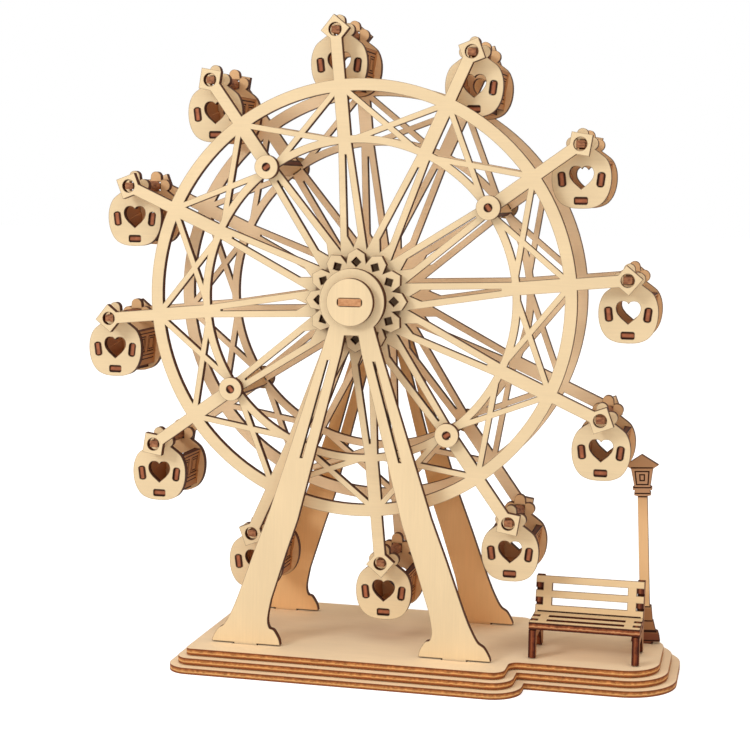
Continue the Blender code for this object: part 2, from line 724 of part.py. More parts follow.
def back_point(across, along):
    """A point of the side plate, measured across and along the leaning back."""
    c, s = math.cos(BACK_LEAN), math.sin(BACK_LEAN)
    return SEAT_DEPTH + across * c + along * s, SEAT_HEIGHT + GAP - across * s + along * c


def bench_side_outline():
    """A bench side as (y, z) from the front of the seat and the top of the base."""
    under = SEAT_HEIGHT - PLY - GAP
    rail = under - RAIL_HEIGHT
    foot = GAP
    rear = REAR_LEG_REACH - BENCH_FRONT
    edge = [(0, foot), (0, under)]
    for share in SEAT_SLOT_SHARES:
        y, half = share * SEAT_DEPTH, SEAT_SLOT / 2 - GAP
        edge += [(y - half, under), (y - half, SEAT_HEIGHT), (y + half, SEAT_HEIGHT), (y + half, under)]
    edge.append((SEAT_DEPTH + GAP, under))
    face = PLY + GAP
    band = BACK_HEIGHT / BACK_BANDS
    edge.append(back_point(face, 0))
    for index in BACK_WINDOW_BANDS:
        low, high = index * band + GAP, (index + 1) * band - GAP
        edge += [back_point(face, low), back_point(0, low), back_point(0, high), back_point(face, high)]
    edge += [back_point(face, BACK_HEIGHT), back_point(face + POST_WIDTH, BACK_HEIGHT)]
    edge.append(back_point(face + POST_WIDTH, -PLY))
    edge += [(rear, foot), (rear - LEG_WIDTH, foot), (SEAT_DEPTH - LEG_WIDTH, rail), (LEG_WIDTH, rail)]
    edge.append((LEG_WIDTH, foot))
    return edge


def build_bench(face, edge, parts):
    seat_z = BASE_TOP + SEAT_HEIGHT - PLY / 2
    sheet("bench_seat", seat_outlines(), PLY, face, (BENCH_X, BENCH_FRONT, seat_z), LIES_FLAT, parts)
    lean = Matrix.Rotation(-BACK_LEAN, 3, 'X')
    y, z = back_point(PLY / 2, 0)
    spot = (BENCH_X, BENCH_FRONT + y, BASE_TOP + z)
    sheet("bench_back", back_outlines(), PLY, face, spot, lean @ FACES_FRONT, parts)
    side_mesh = sheet_mesh("bench_side", [bench_side_outline()], PLY)
    x = BENCH_WIDTH / 2 - PLY / 2
    for name, side in (("bench_side_left", -1), ("bench_side_right", 1)):
        add_object(name, side_mesh, edge, (BENCH_X + side * x, BENCH_FRONT, BASE_TOP), FACES_SIDE, parts)


# The lamp

def lamp_outline():
    """The lamp's silhouette: a stepped plinth, a post, collars, a lantern and a roof."""
    half = [(x * LAMP_HALF_FOOT, z * LAMP_HEIGHT + GAP) for x, z in LAMP_SHARES]
    tab = [(LAMP_TAB / 2, -BASE_PLY), (LAMP_TAB / 2, GAP)]
    left = [(-x, z) for x, z in reversed(tab + half) if x > 0]
    return tab + half + left


def build_lamp(face, parts):
    lean = Matrix.Rotation(LAMP_LEAN, 3, 'Y')
    spot = (LAMP_X, LAMP_Y, BASE_TOP + GAP / 2)
    sheet("lamp_post", [lamp_outline()], PLY, face, spot, lean @ FACES_FRONT, parts)


def main():
    clear_scene()
    parts = new_collection("ferris_wheel")
    cutters = new_collection("cutters")
    face = wood("plywood_face", FACE_COLOUR)
    edge = wood("plywood_edge", EDGE_COLOUR)
    hub = bpy.data.objects.new("wheel_axis", None)
    hub.location = (0, 0, AXLE_HEIGHT)
    parts.objects.link(hub)
    build_base(face, parts)
    build_frames(face, parts)
    build_hub(face, edge, parts, cutters)
    build_wheel(face, edge, parts, hub)
    build_gondolas(face, edge, parts)
    build_bench(face, edge, parts)
    build_lamp(face, parts)


main()
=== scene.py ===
"""The laser-cut plywood ferris wheel, dressed around its CAD frame.

Laid out as an add-on and run as a script. Lengths are metres unless a name says millimetres.
"""
import math

import bmesh
import bpy
from mathutils import Matrix, Vector
from mathutils.geometry import tessellate_polygon


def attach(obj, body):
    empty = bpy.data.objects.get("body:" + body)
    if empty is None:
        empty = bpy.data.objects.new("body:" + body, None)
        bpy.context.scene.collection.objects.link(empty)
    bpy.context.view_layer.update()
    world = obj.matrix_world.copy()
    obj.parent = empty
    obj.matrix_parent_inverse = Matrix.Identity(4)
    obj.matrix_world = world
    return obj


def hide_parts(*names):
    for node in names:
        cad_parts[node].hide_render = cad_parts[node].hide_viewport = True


bl_info = {
    "name": "Plywood ferris wheel",
    "version": (1, 0, 0),
    "blender": (4, 5, 0),
    "location": "View3D > Sidebar > Ferris wheel",
    "description": "Builds a laser-cut plywood ferris wheel with gondolas, a bench and a lamp",
    "category": "Add Mesh",
}

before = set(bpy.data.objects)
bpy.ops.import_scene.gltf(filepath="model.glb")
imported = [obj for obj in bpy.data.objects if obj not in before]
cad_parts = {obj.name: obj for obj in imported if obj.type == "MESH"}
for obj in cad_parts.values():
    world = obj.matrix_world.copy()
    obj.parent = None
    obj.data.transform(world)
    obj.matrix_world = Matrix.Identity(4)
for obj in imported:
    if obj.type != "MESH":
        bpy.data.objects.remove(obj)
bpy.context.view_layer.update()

# Sheet and play
PLY = 0.0018
THIN_PLY = 0.0013
BASE_PLY = 0.0016
GAP = 0.0003
LAYER = PLY + GAP
BASE_TOP = 3 * BASE_PLY + 2 * GAP
WELD = 0.000002
MILLIMETRE = 0.001
# Two edges of an outline that nearly double back, and how far a sharp corner's share may fall
HAIRPIN = 0.01
SHARPEST_CORNER = 0.45

# The wheel and what stands round it
AXLE_HEIGHT = 0.09324
BODY_BOTTOM = 0.0154
BASE_CLEARANCE = 0.00588
PIVOT_RADIUS = AXLE_HEIGHT - BASE_TOP - BODY_BOTTOM - BASE_CLEARANCE
FOOT_SPREAD = 0.3861 * AXLE_HEIGHT
WHEEL_HALF_WIDTH = 0.0126
SPOKES = 12
WHEEL_TURN = math.radians(-5.55)
SECTOR = 2 * math.pi / SPOKES
HEAD_SIDE = 0.00515
PIVOT_HOLE = 0.00165
ARM_WIDTH = 0.0029
OUTER_RING = 0.8173 * PIVOT_RADIUS
OUTER_RING_WIDTH = 0.0030
INNER_RING = 0.61 * PIVOT_RADIUS
INNER_RING_WIDTH = 0.0019
SPOKE_WIDTH = 0.0033
SPOKE_ROOT = 0.01245
BRACE_WIDTH = 0.0014
BRACE_OUTER_SHARE = 0.88
BRACE_INNER_SHARE = 0.53
SLIT_START = 0.0132
SLIT_WIDEST = 0.0160
SLIT_END = 0.541 * PIVOT_RADIUS
SLIT_WIDTH = 0.0028
SLIT_END_WIDTH = 0.0004
RING_STEPS = 10
HOLE_STEPS = 32
ROUND_STEPS = 72
SLOT_CORNER_STEPS = 5

ROD_RADIUS = 0.6017 * PIVOT_RADIUS
ROD_WIDTH = 0.0045
ROD_TENON = 0.0020
ROD_SPOKES = (2, 5, 8, 11)
WASHER_RADIUS = 0.0030
TENON_END = 0.0017
WASHER_HOLE = 0.62 * TENON_END

# Hub stack
AXLE_BAR_WIDTH = 0.0057
CAP_RADIUS = 0.00585
BUSH_RADIUS = 0.0079
BOSS_RADIUS = 0.0050
PETAL_TIP = 0.0129
PETAL_SHOULDER = 0.0116
PETAL_WIDTH = 0.0042
PETAL_VALLEY = 0.0095
DIAMOND_RADIUS = 0.0096
DIAMOND_SIDE = 0.0018
# How far round the axle the wheel sides carry painted shade: out to the diamonds' outer corners, under the
# petal discs
HUB_SHADE_RADIUS = DIAMOND_RADIUS + DIAMOND_SIDE

FOOT_Z = BASE_TOP + GAP
STANDING_HEIGHT = AXLE_HEIGHT - FOOT_Z
SIDE_Y = WHEEL_HALF_WIDTH - PLY / 2
WASHER_Y = SIDE_Y + LAYER
PETAL_Y = SIDE_Y + LAYER
BUSH_Y = PETAL_Y + LAYER
FRAME_Y = BUSH_Y + LAYER
CAP_Y = FRAME_Y + LAYER
SLOT_WIDTH = AXLE_BAR_WIDTH + 2 * GAP
SLOT_HEIGHT = PLY + 2 * GAP
AXLE_SLOT_HEIGHT = PLY + GAP
AXLE_SLOT_CORNER = 0.4 * AXLE_SLOT_HEIGHT
# Each side's name, its direction along y, and how stained a sheet's front and rear faces are there
SIDES = (("front", -1, (0, 1)), ("rear", 1, (1, 0)))

# Standing frames
FRAME_HEAD = 0.0082
FOOT_TAB = 0.0060
FOOT_TAB_X = 0.75 * FOOT_SPREAD
OPENING_TOP_WIDTH = 0.0036
OPENING_TOP_DROP = 0.0083
LEG_SLIT_WIDTH = 0.0007
FLARE_STEPS = 5
# x over the foot spread, and height over the axle's height above the base
LEG_OUTER = ((0.168, 0.926), (0.207, 0.862), (0.575, 0.395), (0.678, 0.284), (0.804, 0.141))
LEG_OUTER_FLARE = (
    (0.804, 0.141), (0.850, 0.095), (0.905, 0.053), (0.953, 0.038), (0.989, 0.014), (1.0, 0.0))
LEG_INNER_FLARE = (
    (0.497, 0.0), (0.508, 0.019), (0.544, 0.043), (0.578, 0.050), (0.589, 0.078), (0.564, 0.134))
LEG_INNER = ((0.452, 0.278), (0.373, 0.372), (0.0706, 0.859))
LEG_SLIT = ((0.160, 0.834), (0.350, 0.552))

# Base: a field under the wheel, and a tongue under the bench and the lamp
BASE_STEP = 0.0021
FIELD_PAST_FEET = 0.0044
FIELD_HALF_WIDTH = FOOT_SPREAD + FIELD_PAST_FEET
FIELD_HALF_DEPTH = 0.02665
FIELD_LEFT_CORNER = 0.0015
FIELD_RIGHT_CORNER = 0.0035
TONGUE_HALF_DEPTH = 0.0163
TONGUE_CORNER = 0.009
NECK_FILLET = 0.0025
CORNER_STEPS = 14

# Gondolas
GONDOLA_HALF_DEPTH = 0.0084
PLATE_INSIDE = GONDOLA_HALF_DEPTH - PLY
CABIN_LENGTH = 2 * (PLATE_INSIDE - GAP)
BODY_HALF_WIDTH = 0.0072
BODY_TOP = 0.0015
NECK_LOBE = 0.0016
NECK_LOBE_REACH = 0.0023
NECK_LOBE_RISE = NECK_LOBE / 8
NECK_LOBE_STEPS = 14
TOP_LOBE = 0.0014
TOP_LOBE_RISE = 0.0025
TOP_LOBE_STEPS = 8
BODY_STEPS = 4
# x over the half width, and depth over the height, down the body's right side
BODY_SHARES = (
    (0.60, 0.040), (0.84, 0.150), (0.98, 0.340), (0.99, 0.560), (0.89, 0.760), (0.68, 0.910),
    (0.36, 0.985), (0.0, 1.0))
HEART_WIDTH = 0.0059
HEART_TOP = 0.0052
HEART_HEIGHT = 0.00555
HEART_STEPS = 3
# x over the half width, and depth over the height, down the heart's right side
HEART_SHARES = (
    (0.0, 0.126), (0.14, 0.035), (0.34, 0.0), (0.56, 0.0), (0.74, 0.03), (0.92, 0.13), (1.0, 0.270),
    (0.98, 0.40), (0.88, 0.54), (0.60, 0.73), (0.0, 1.0))
WALL_X = 0.0047
WALL_Z = 0.0084
WALL_HEIGHT = 0.0094
WALL_LEAN = math.radians(7)
WALL_TAB = 0.0030
FLOOR_Z = 0.0135
FLOOR_WIDTH = 0.0066
PIN_WIDTH = 0.0021
PIN_THICKNESS = 0.0017
PIN_BARREL = 0.0014
PIN_STEPS = 16
PIN_CORNER = 0.12 * PIN_THICKNESS
SIDE_SLOT_CORNER = 0.6 * THIN_PLY
BOTTOM_SLOT_CORNER = 0.35 * THIN_PLY
REAR_PLATE_STAIN = 0.15
TAB_INSET = 0.0004
# A tab's end is drawn thicker, because the real one fills its slot and the solids leave play round it
TAB_GROWTH = 1.6 * GAP
TAB_SWELL = 1 + TAB_GROWTH / THIN_PLY
ENGRAVING = 0.00012
ENGRAVED_LINE = 0.0003
# Two frames of an engraved window, over the wall's length and height, and the lines above and below it
WINDOW_FRAMES = ((0.36, 0.46), (0.24, 0.34))
WINDOW_RISE = 0.10 * WALL_HEIGHT
WALL_LINES = (0.41, -0.22, -0.33)
WALL_LINE_LENGTH = 0.94 * CABIN_LENGTH
# Faces with less of their normal than this along z are the walls of an engraved line
STEEP_NORMAL = 0.5
# Round the cuts that another piece covers
HIDDEN_HALO = 0.00004

# Bench and lamp
BENCH_WIDTH = 0.0272
SEAT_HEIGHT = 0.0093
BACK_HEIGHT = 0.0092
BACK_LEAN = math.radians(12)
BENCH_TOP = BASE_TOP + SEAT_HEIGHT + GAP + BACK_HEIGHT * math.cos(BACK_LEAN)
# The bench begins where the gondolas, as they pass, still clear its back
BENCH_CLEARANCE = 0.00027
BENCH_LEFT = math.sqrt(
    (PIVOT_RADIUS + BODY_BOTTOM + BENCH_CLEARANCE) ** 2 - (AXLE_HEIGHT - BENCH_TOP) ** 2)
BENCH_X = BENCH_LEFT + BENCH_WIDTH / 2
BENCH_FRONT = -0.0123
SEAT_DEPTH = 0.0110
SEAT_SLOT = 0.0018
SEAT_SLOT_SHARES = (0.27, 0.65)
SLAT_SLOT_LENGTH = 0.0190
END_NOTCH = 0.00185
# The back is drawn a little lower and further back than its solid, so that no gap shows above the seat
BACK_DROP = 0.00034
BACK_SHIFT = 0.00005
# The dark line engraved along the back's foot: its scorched lower edge, with painted shadow where the back
# meets the seat
BACK_SCORCH_AND_SHADOW = 0.00036
BACK_SCORCH_AND_SHADOW_LENGTH = BENCH_WIDTH - 4 * GAP
BACK_BANDS = 5
BACK_WINDOW_BANDS = (1, 3)
LEG_WIDTH = 0.0020
RAIL_HEIGHT = 0.0020
REAR_LEG_REACH = 0.0022
POST_WIDTH = 0.0022
LAMP_X = BENCH_LEFT + BENCH_WIDTH
LAMP_Y = 0.0107
LAMP_LEAN = math.radians(-2.8)
LAMP_HEIGHT = 0.0486
LAMP_HALF_FOOT = 0.00365
LAMP_TAB = 0.0030
# half width over the foot's half width, and height over the lamp's height, up the right side
LAMP_SHARES = (
    (1.0, 0.0), (0.95, 0.030), (0.86, 0.056), (0.70, 0.060), (0.56, 0.112), (0.51, 0.114),
    (0.45, 0.192), (0.335, 0.194), (0.335, 0.780), (0.57, 0.784), (0.57, 0.800), (0.53, 0.802),
    (0.53, 0.811), (0.66, 0.813), (0.66, 0.829), (0.55, 0.832), (0.75, 0.922), (0.79, 0.926),
    (1.15, 0.944), (0.0, 1.0))
LAMP_LINE = 0.00035
# half width of an engraved pane at its bottom and top, and the heights of those over the lamp's height
LAMP_PANES = ((0.00160, 0.00194, 0.838, 0.914), (0.00070, 0.00076, 0.859, 0.897))
# height over the lamp's height, half width over the foot's half width, and how thick, in lines
LAMP_BARS = (
    (0.930, 0.76, 1), (0.825, 0.63, 1), (0.794, 0.54, 1), (0.777, 0.31, 1), (0.188, 0.42, 1),
    (0.112, 0.52, 1), (0.057, 0.80, 2), (0.006, 0.95, 1))
TONGUE_PAST_LAMP = 0.0048
TONGUE_END = LAMP_X + TONGUE_PAST_LAMP

FACES_FRONT = Matrix.Rotation(math.pi / 2, 4, 'X')
QUARTER_TURN = Matrix.Rotation(math.pi / 2, 4, 'Z')
FACES_SIDE = QUARTER_TURN @ FACES_FRONT

# The wood's patterns, along and across the grain. Fibres are about 0.1 mm wide, too fine for the picture,
# so they are drawn 0.45 mm wide and 9 mm long
FIBRE_SIZE = (9 * MILLIMETRE, 0.45 * MILLIMETRE, 0.45 * MILLIMETRE)
CLOUD_SIZE = (30 * MILLIMETRE, 9 * MILLIMETRE, 9 * MILLIMETRE)
SOOT_SIZE = (MILLIMETRE, MILLIMETRE, MILLIMETRE)
STREAK_SIZE = (1.4 * MILLIMETRE, 2.5 * MILLIMETRE, 0.6 * MILLIMETRE)
NO_TURN = (0, 0, 0)
GRAIN_TURNS = {'X': NO_TURN, 'Z': (0, math.pi / 2, 0)}
# Cuts: the ends of tabs, how far the glue lines waver over the thickness, and how strong the soot shows
TAB_BROWN = "#AA6444"
GLUE_LINE_WAVER = 0.3
SOOT_CONTRAST = 1.0
# Painted shade on the wheel sides' outer faces, where the petal discs keep the light off them, and how dark
# it gets
HUB_SHADE = "#5E2A12"
HUB_SHADE_STRENGTH = 0.7
# What a sheet tells its wood: how near a point is to the cut and how deep in the sheet, and what each face is
POINT_MARKS = ("burn", "depth")
FACE_MARKS = ("cut", "stained", "engraved", "browned")
# The laser browned the lamp's plinth, collars and roof, and left its post pale, by share of the height
LAMP_SHADES = (
    (0.0, "#7E4A34"), (0.055, "#865038"), (0.06, "#A6754E"), (0.19, "#AE7C54"), (0.20, "#F6CB96"),
    (0.77, "#F0C08C"), (0.785, "#D6A37A"), (0.92, "#D4A27A"), (0.93, "#C7956A"), (1.0, "#C4966C"))
PLYWOODS = {
    # A plain sheet, with a pale better face and a warmer one behind
    "birch_plywood": {},
    # Beige sanded faces and an orange-brown edge: thick sheets that the laser browned less
    "birch_plywood_base": {
        "clean": "#F9DFBA", "wall": "#864822", "wall_light": "#B87640", "core": "#E4AE6E",
        "scorch": "#A06238"},
    # Frames and caps, whose grain stands upright
    "birch_plywood_upright": {"axis": 'Z', "stained": "#F3C28A"},
    # Wheel sides, whose inner faces are pale too, with painted shade on their outer faces under the petal
    # discs
    "birch_plywood_wheel": {"stained": "#FADCB4", "hub_shade_radius": HUB_SHADE_RADIUS},
    # Cabins, browned by smoke from the engraving of their walls
    "birch_plywood_cabin": {"stained": "#C08452", "clean": "#EFC593", "engraving": "#2E140A"},
    # The bench's narrow slats, scorched more than broad sheets, with a pale core in their edge
    "birch_plywood_bench": {
        "clean": "#EACB9E", "wall": "#4A1C0C", "wall_light": "#93502C", "core": "#CC9263",
        "scorch": "#3A1808", "scorched": 1.3},
    # The bench's sides, seen from their cut edge, with smoked faces
    "birch_plywood_bench_side": {
        "clean": "#A9744A", "stained": "#8A5A38", "wall": "#421507", "wall_light": "#6E321A",
        "core": "#8E4E2C"},
    # The lamp, whose grain stands upright, in bands of its own shades
    "birch_plywood_lamp": {
        "axis": 'Z',
        "bands": tuple((BASE_TOP + share * LAMP_HEIGHT, colour) for share, colour in LAMP_SHADES)},
}
# Bare tab ends, as the dark and the light of their streaks: the axle bar's, and the cross bars', burnt darker
TAB_ENDS = {"bare_plywood_tab": ("#B87A4E", "#DDA575"), "burnt_plywood_tab": ("#6E3A20", "#BE8056")}

LATTICE_TREE = "Sheet cut round a hub"
HANGING_TREE = "Hung on the wheel"

# Studio: each light's name, place, size and power, their colour, and the point that they shine at
STUDIO_LIGHTS = (
    ("key", (-0.62, -0.78, 0.56), 0.3, 4.2), ("fill", (0.40, -0.95, 0.30), 0.9, 1.35),
    ("top", (0.05, -0.25, 0.95), 0.6, 1.7))
LIGHT_COLOUR = (0.90, 0.965, 1.0)
LIT_POINT = Vector((0, 0, 0.08))
WORLD_LIGHT = 0.67
WORLD_TINT = "#FFF0E0"
FLOOR_HALF_WIDTH = 4.0
FLOOR_PAPER = "#E9ECF1"
FLOOR_GLOW = 0.6
WHITE = "#FFFFFF"
CAMERA_TARGET = (0.004599, -0.0126, 0.074759)
CAMERA_DISTANCE = 0.405828
CAMERA_AZIMUTH = math.radians(13.52)
CAMERA_ELEVATION = math.radians(6.51)
CAMERA_ROLL = math.radians(0.65)
CAMERA_LENS = 78.32
CAMERA_SENSOR = 36.0


# Colours and nodes

def linear(hex_colour):
    """An sRGB hex colour as linear red, green and blue with alpha."""
    values = [int(hex_colour[i:i + 2], 16) / 255 for i in (1, 3, 5)]
    return tuple(v / 12.92 if v <= 0.04045 else ((v + 0.055) / 1.055) ** 2.4 for v in values) + (1.0,)


def add_node(tree, kind, inputs=None, stops=(), **settings):
    """A node with its settings, its fixed inputs and its incoming links.

    A node given for an input stands for its first output. A colour ramp has (position, hex colour) stops.
    """
    node = tree.nodes.new(kind)
    for name, value in settings.items():
        setattr(node, name, value)
    for socket, value in (inputs or {}).items():
        if isinstance(value, bpy.types.Node):
            value = value.outputs[0]
        if isinstance(value, bpy.types.NodeSocket):
            tree.links.new(value, node.inputs[socket])
        else:
            node.inputs[socket].default_value = value
    # A new ramp has two stops
    for _ in stops[2:]:
        node.color_ramp.elements.new(1.0)
    for index, (position, colour) in enumerate(stops):
        element = node.color_ramp.elements[index]
        element.position, element.color = position, linear(colour)
    return node


def new_material(name):
    """A material with an empty tree, the tree, and the Object coordinates that a pattern lies on."""
    material = bpy.data.materials.new(name)
    material.use_nodes = True
    tree = material.node_tree
    tree.nodes.clear()
    return material, tree, add_node(tree, "ShaderNodeTexCoord").outputs["Object"]


def wood_patterns(tree, place, axis):
    """Fibres along the grain, clouds in the veneer, and soot on the cut in patches of about 1 mm."""
    turn = GRAIN_TURNS[axis]
    patterns = []
    for size, rotation, detail, roughness in (
            (FIBRE_SIZE, turn, 3.0, 0.55), (CLOUD_SIZE, turn, 2.0, 0.5), (SOOT_SIZE, NO_TURN, 3.0, 0.5)):
        laid = add_node(tree, "ShaderNodeMapping", {
            "Vector": place, "Rotation": rotation, "Scale": size}, vector_type='TEXTURE')
        patterns.append(add_node(tree, "ShaderNodeTexNoise", {
            "Vector": laid, "Scale": 1.0, "Detail": detail, "Roughness": roughness}))
    return patterns


def banded(tree, place, bands):
    """A face's colour by height, from (metres, colour) stops."""
    low, high = bands[0][0], bands[-1][0]
    parts = add_node(tree, "ShaderNodeSeparateXYZ", {0: place})
    height = add_node(tree, "ShaderNodeMapRange", {
        "Value": parts.outputs["Z"], "From Min": low, "From Max": high})
    return add_node(tree, "ShaderNodeValToRGB", {"Fac": height}, [
        ((z - low) / (high - low), colour) for z, colour in bands])


def painted_hub_shade(tree, place, face, stained, reach):
    """A face's colour, with painted shade as far as a radius round the axle, on the side that isn't stained.
    """
    from_axle = add_node(tree, "ShaderNodeVectorMath", {
        0: place, 1: (1, 0, 1), 2: (0, 0, -AXLE_HEIGHT)}, operation='MULTIPLY_ADD')
    radius = add_node(tree, "ShaderNodeVectorMath", {0: from_axle}, operation='LENGTH')
    shade_amount = add_node(tree, "ShaderNodeMapRange", {
        "Value": radius.outputs["Value"], "From Min": reach - MILLIMETRE / 2, "From Max": reach,
        "To Min": HUB_SHADE_STRENGTH, "To Max": 0.0})
    outer = add_node(tree, "ShaderNodeMath", {0: 1.0, 1: stained}, operation='SUBTRACT')
    share = add_node(tree, "ShaderNodeMath", {0: shade_amount, 1: outer}, operation='MULTIPLY')
    return add_node(tree, "ShaderNodeMix", {
        0: share, 6: face, 7: linear(HUB_SHADE)}, data_type='RGBA').outputs[2]


def toned(tree, colour, pattern, contrast):
    """A colour made lighter and darker by a pattern, about its own tone."""
    tone = add_node(tree, "ShaderNodeMath", {
        0: pattern, 1: contrast, 2: 1 - contrast / 2}, operation='MULTIPLY_ADD')
    return add_node(tree, "ShaderNodeVectorMath", {0: colour, "Scale": tone}, operation='SCALE')


def burnt_cut(tree, marks, soot, wall, wall_light, core):
    """The cut's colour: plies across the thickness, darker at the faces, with glue lines that waver."""
    waver = add_node(tree, "ShaderNodeMath", {
        0: soot, 1: GLUE_LINE_WAVER, 2: -GLUE_LINE_WAVER / 2}, operation='MULTIPLY_ADD')
    across = add_node(tree, "ShaderNodeMath", {0: marks["depth"], 1: waver}, operation='ADD')
    plies = add_node(tree, "ShaderNodeValToRGB", {"Fac": across}, (
        (0.0, wall), (0.20, wall), (0.34, wall_light), (0.46, wall_light), (0.54, core), (0.62, core),
        (0.70, wall_light), (0.84, wall)))
    wiped = add_node(tree, "ShaderNodeValToRGB", {"Fac": marks["depth"]}, (
        (0.0, wall), (0.16, wall), (0.36, TAB_BROWN), (0.64, TAB_BROWN), (0.84, wall)))
    cut = add_node(tree, "ShaderNodeMix", {0: marks["browned"], 6: plies, 7: wiped}, data_type='RGBA')
    return toned(tree, cut.outputs[2], soot, SOOT_CONTRAST)


def plywood(name, axis='X', clean=None, stained="#E4BC8B", wall="#301205", wall_light="#602C13",
            core=None, scorch="#5A3018", scorched=1.0, engraving="#3A1B0D", bands=(), hub_shade_radius=0):
    """Laser-cut birch plywood: pale close-grained faces, a scorched halo, and a charred cut edge.

    Birch is a satin, nearly even wood: fine fibres along the grain and faint broad clouds. The
    laser leaves the cut dark brown, a little lighter in the middle ply, and the ends of tabs,
    which are wiped clean, mid brown. Engraved lines are burnt like the cut.
    """
    look = wood_look()
    material, tree, place = new_material(name)
    marks = {mark: add_node(tree, "ShaderNodeAttribute", attribute_name=mark).outputs["Fac"]
             for mark in POINT_MARKS + FACE_MARKS}
    fibres, clouds, soot = wood_patterns(tree, place, axis)
    # The colour Mix node shares its socket names with number sockets, so its inputs go by position
    colour = add_node(tree, "ShaderNodeMix", {
        0: marks["stained"], 6: linear(clean) if clean else look.clean_face, 7: linear(stained)},
        data_type='RGBA').outputs[2]
    if bands:
        colour = banded(tree, place, bands)
    # Painted shade under the petal discs, round the axle
    if hub_shade_radius:
        colour = painted_hub_shade(tree, place, colour, marks["stained"], hub_shade_radius)
    colour = toned(tree, toned(tree, colour, fibres, look.grain_strength), clouds, look.cloud_strength)
    # The burn mark is 1 at the cut and 0 where the halo ends
    fade = add_node(tree, "ShaderNodeMath", {0: marks["burn"], 1: look.halo_falloff}, operation='POWER')
    halo = add_node(tree, "ShaderNodeMath", {
        0: fade, 1: look.halo_strength * scorched}, operation='MULTIPLY')
    cut = burnt_cut(tree, marks, soot, wall, wall_light, core or wall_light)
    for share, burnt in ((halo, linear(scorch)), (marks["cut"], cut),
                         (marks["engraved"], linear(engraving))):
        colour = add_node(tree, "ShaderNodeMix", {0: share, 6: colour, 7: burnt}, data_type='RGBA').outputs[2]
    relief = add_node(tree, "ShaderNodeBump", {
        "Height": fibres, "Strength": 0.15, "Distance": 0.03 * MILLIMETRE})
    shader = add_node(tree, "ShaderNodeBsdfPrincipled", {
        "Base Color": colour, "Normal": relief, "Roughness": 0.62, "Metallic": 0.0,
        "IOR": 1.45, "Specular IOR Level": 0.25})
    add_node(tree, "ShaderNodeOutputMaterial", {"Surface": shader})
    return material


def tab_end(name, dark, light):
    """The end of a tab: bare ply end grain, browned by the laser in streaks about 0.6 mm across."""
    material, tree, place = new_material(name)
    laid = add_node(tree, "ShaderNodeMapping", {"Vector": place, "Scale": STREAK_SIZE}, vector_type='TEXTURE')
    streaks = add_node(tree, "ShaderNodeTexNoise", {"Vector": laid, "Scale": 1.0, "Detail": 3.0})
    colour = add_node(tree, "ShaderNodeValToRGB", {"Fac": streaks}, ((0.3, dark), (0.7, light)))
    relief = add_node(tree, "ShaderNodeBump", {
        "Height": streaks, "Strength": 0.4, "Distance": 0.04 * MILLIMETRE})
    shader = add_node(tree, "ShaderNodeBsdfPrincipled", {
        "Base Color": colour, "Normal": relief, "Roughness": 0.7, "IOR": 1.45})
    add_node(tree, "ShaderNodeOutputMaterial", {"Surface": shader})
    return material


def wood_look():
    """The settings of the wood, as the panel shows them."""
    return bpy.context.scene.ferris_wheel_look


def wood(name):
    found = bpy.data.materials.get(name)
    if found:
        return found
    return tab_end(name, *TAB_ENDS[name]) if name in TAB_ENDS else plywood(name, **PLYWOODS[name])


# Outlines, as lists of (x, y) points

def polar(radius, angle):
    """A point at an angle measured clockwise from straight up."""
    return radius * math.sin(angle), radius * math.cos(angle)


def arc(radius, start, end, steps, centre=(0, 0)):
    """Points along an arc, with angles clockwise from straight up."""
    points = [polar(radius, start + (end - start) * step / steps) for step in range(steps + 1)]
    return [(centre[0] + x, centre[1] + y) for x, y in points]


def circle(radius, steps, centre=(0, 0)):
    return arc(radius, 0, 2 * math.pi, steps, centre)[:-1]


def rectangle(width, height, centre=(0, 0)):
    x, y = width / 2, height / 2
    return [(centre[0] + sx * x, centre[1] + sy * y) for sx, sy in ((-1, -1), (1, -1), (1, 1), (-1, 1))]


def rounded_rectangle(width, height, radius, centre=(0, 0)):
    """A rectangle whose corners the laser left round."""
    outline = rounded([(x, y, radius) for x, y in rectangle(width, height)], SLOT_CORNER_STEPS)
    return [(centre[0] + x, centre[1] + y) for x, y in outline]


def turned(points, angle, centre=(0, 0)):
    """The points turned clockwise about zero, then moved to the centre."""
    c, s = math.cos(angle), math.sin(angle)
    return [(centre[0] + x * c + y * s, centre[1] - x * s + y * c) for x, y in points]


def mirrored(half):
    """A closed outline from its right half, whose ends may lie on the centre line."""
    return half + [(-x, y) for x, y in reversed(half) if x > WELD]


def rounded(corners, steps=CORNER_STEPS):
    """An outline through (x, y, radius) corners, each rounded by an arc."""
    outline = []
    for index, (x, y, radius) in enumerate(corners):
        corner = Vector((x, y))
        before = (Vector(corners[index - 1][:2]) - corner).normalized()
        after = (Vector(corners[(index + 1) % len(corners)][:2]) - corner).normalized()
        if radius <= 0:
            outline.append((x, y))
            continue
        half = before.angle(after) / 2
        start = corner + before * (radius / math.tan(half))
        middle = corner + (before + after).normalized() * (radius / math.sin(half))
        arm = start - middle
        sweep = math.pi - 2 * half
        side = math.copysign(1, before.x * after.y - before.y * after.x)
        for step in range(steps + 1):
            spoke = arm.copy()
            spoke.rotate(Matrix.Rotation(-side * sweep * step / steps, 2))
            outline.append(tuple(middle + spoke))
    return outline


def eased(points, steps):
    """A smooth curve through points, as many steps between each two."""
    ends = [points[0]] + list(points) + [points[-1]]
    curve = []
    for four in zip(ends, ends[1:], ends[2:], ends[3:]):
        for step in range(steps):
            t = step / steps
            weights = (-t + 2 * t ** 2 - t ** 3, 2 - 5 * t ** 2 + 3 * t ** 3,
                       t + 4 * t ** 2 - 3 * t ** 3, t ** 3 - t ** 2)
            curve.append(tuple(sum(w * p[k] for w, p in zip(weights, four)) / 2 for k in (0, 1)))
    return curve + [tuple(points[-1])]


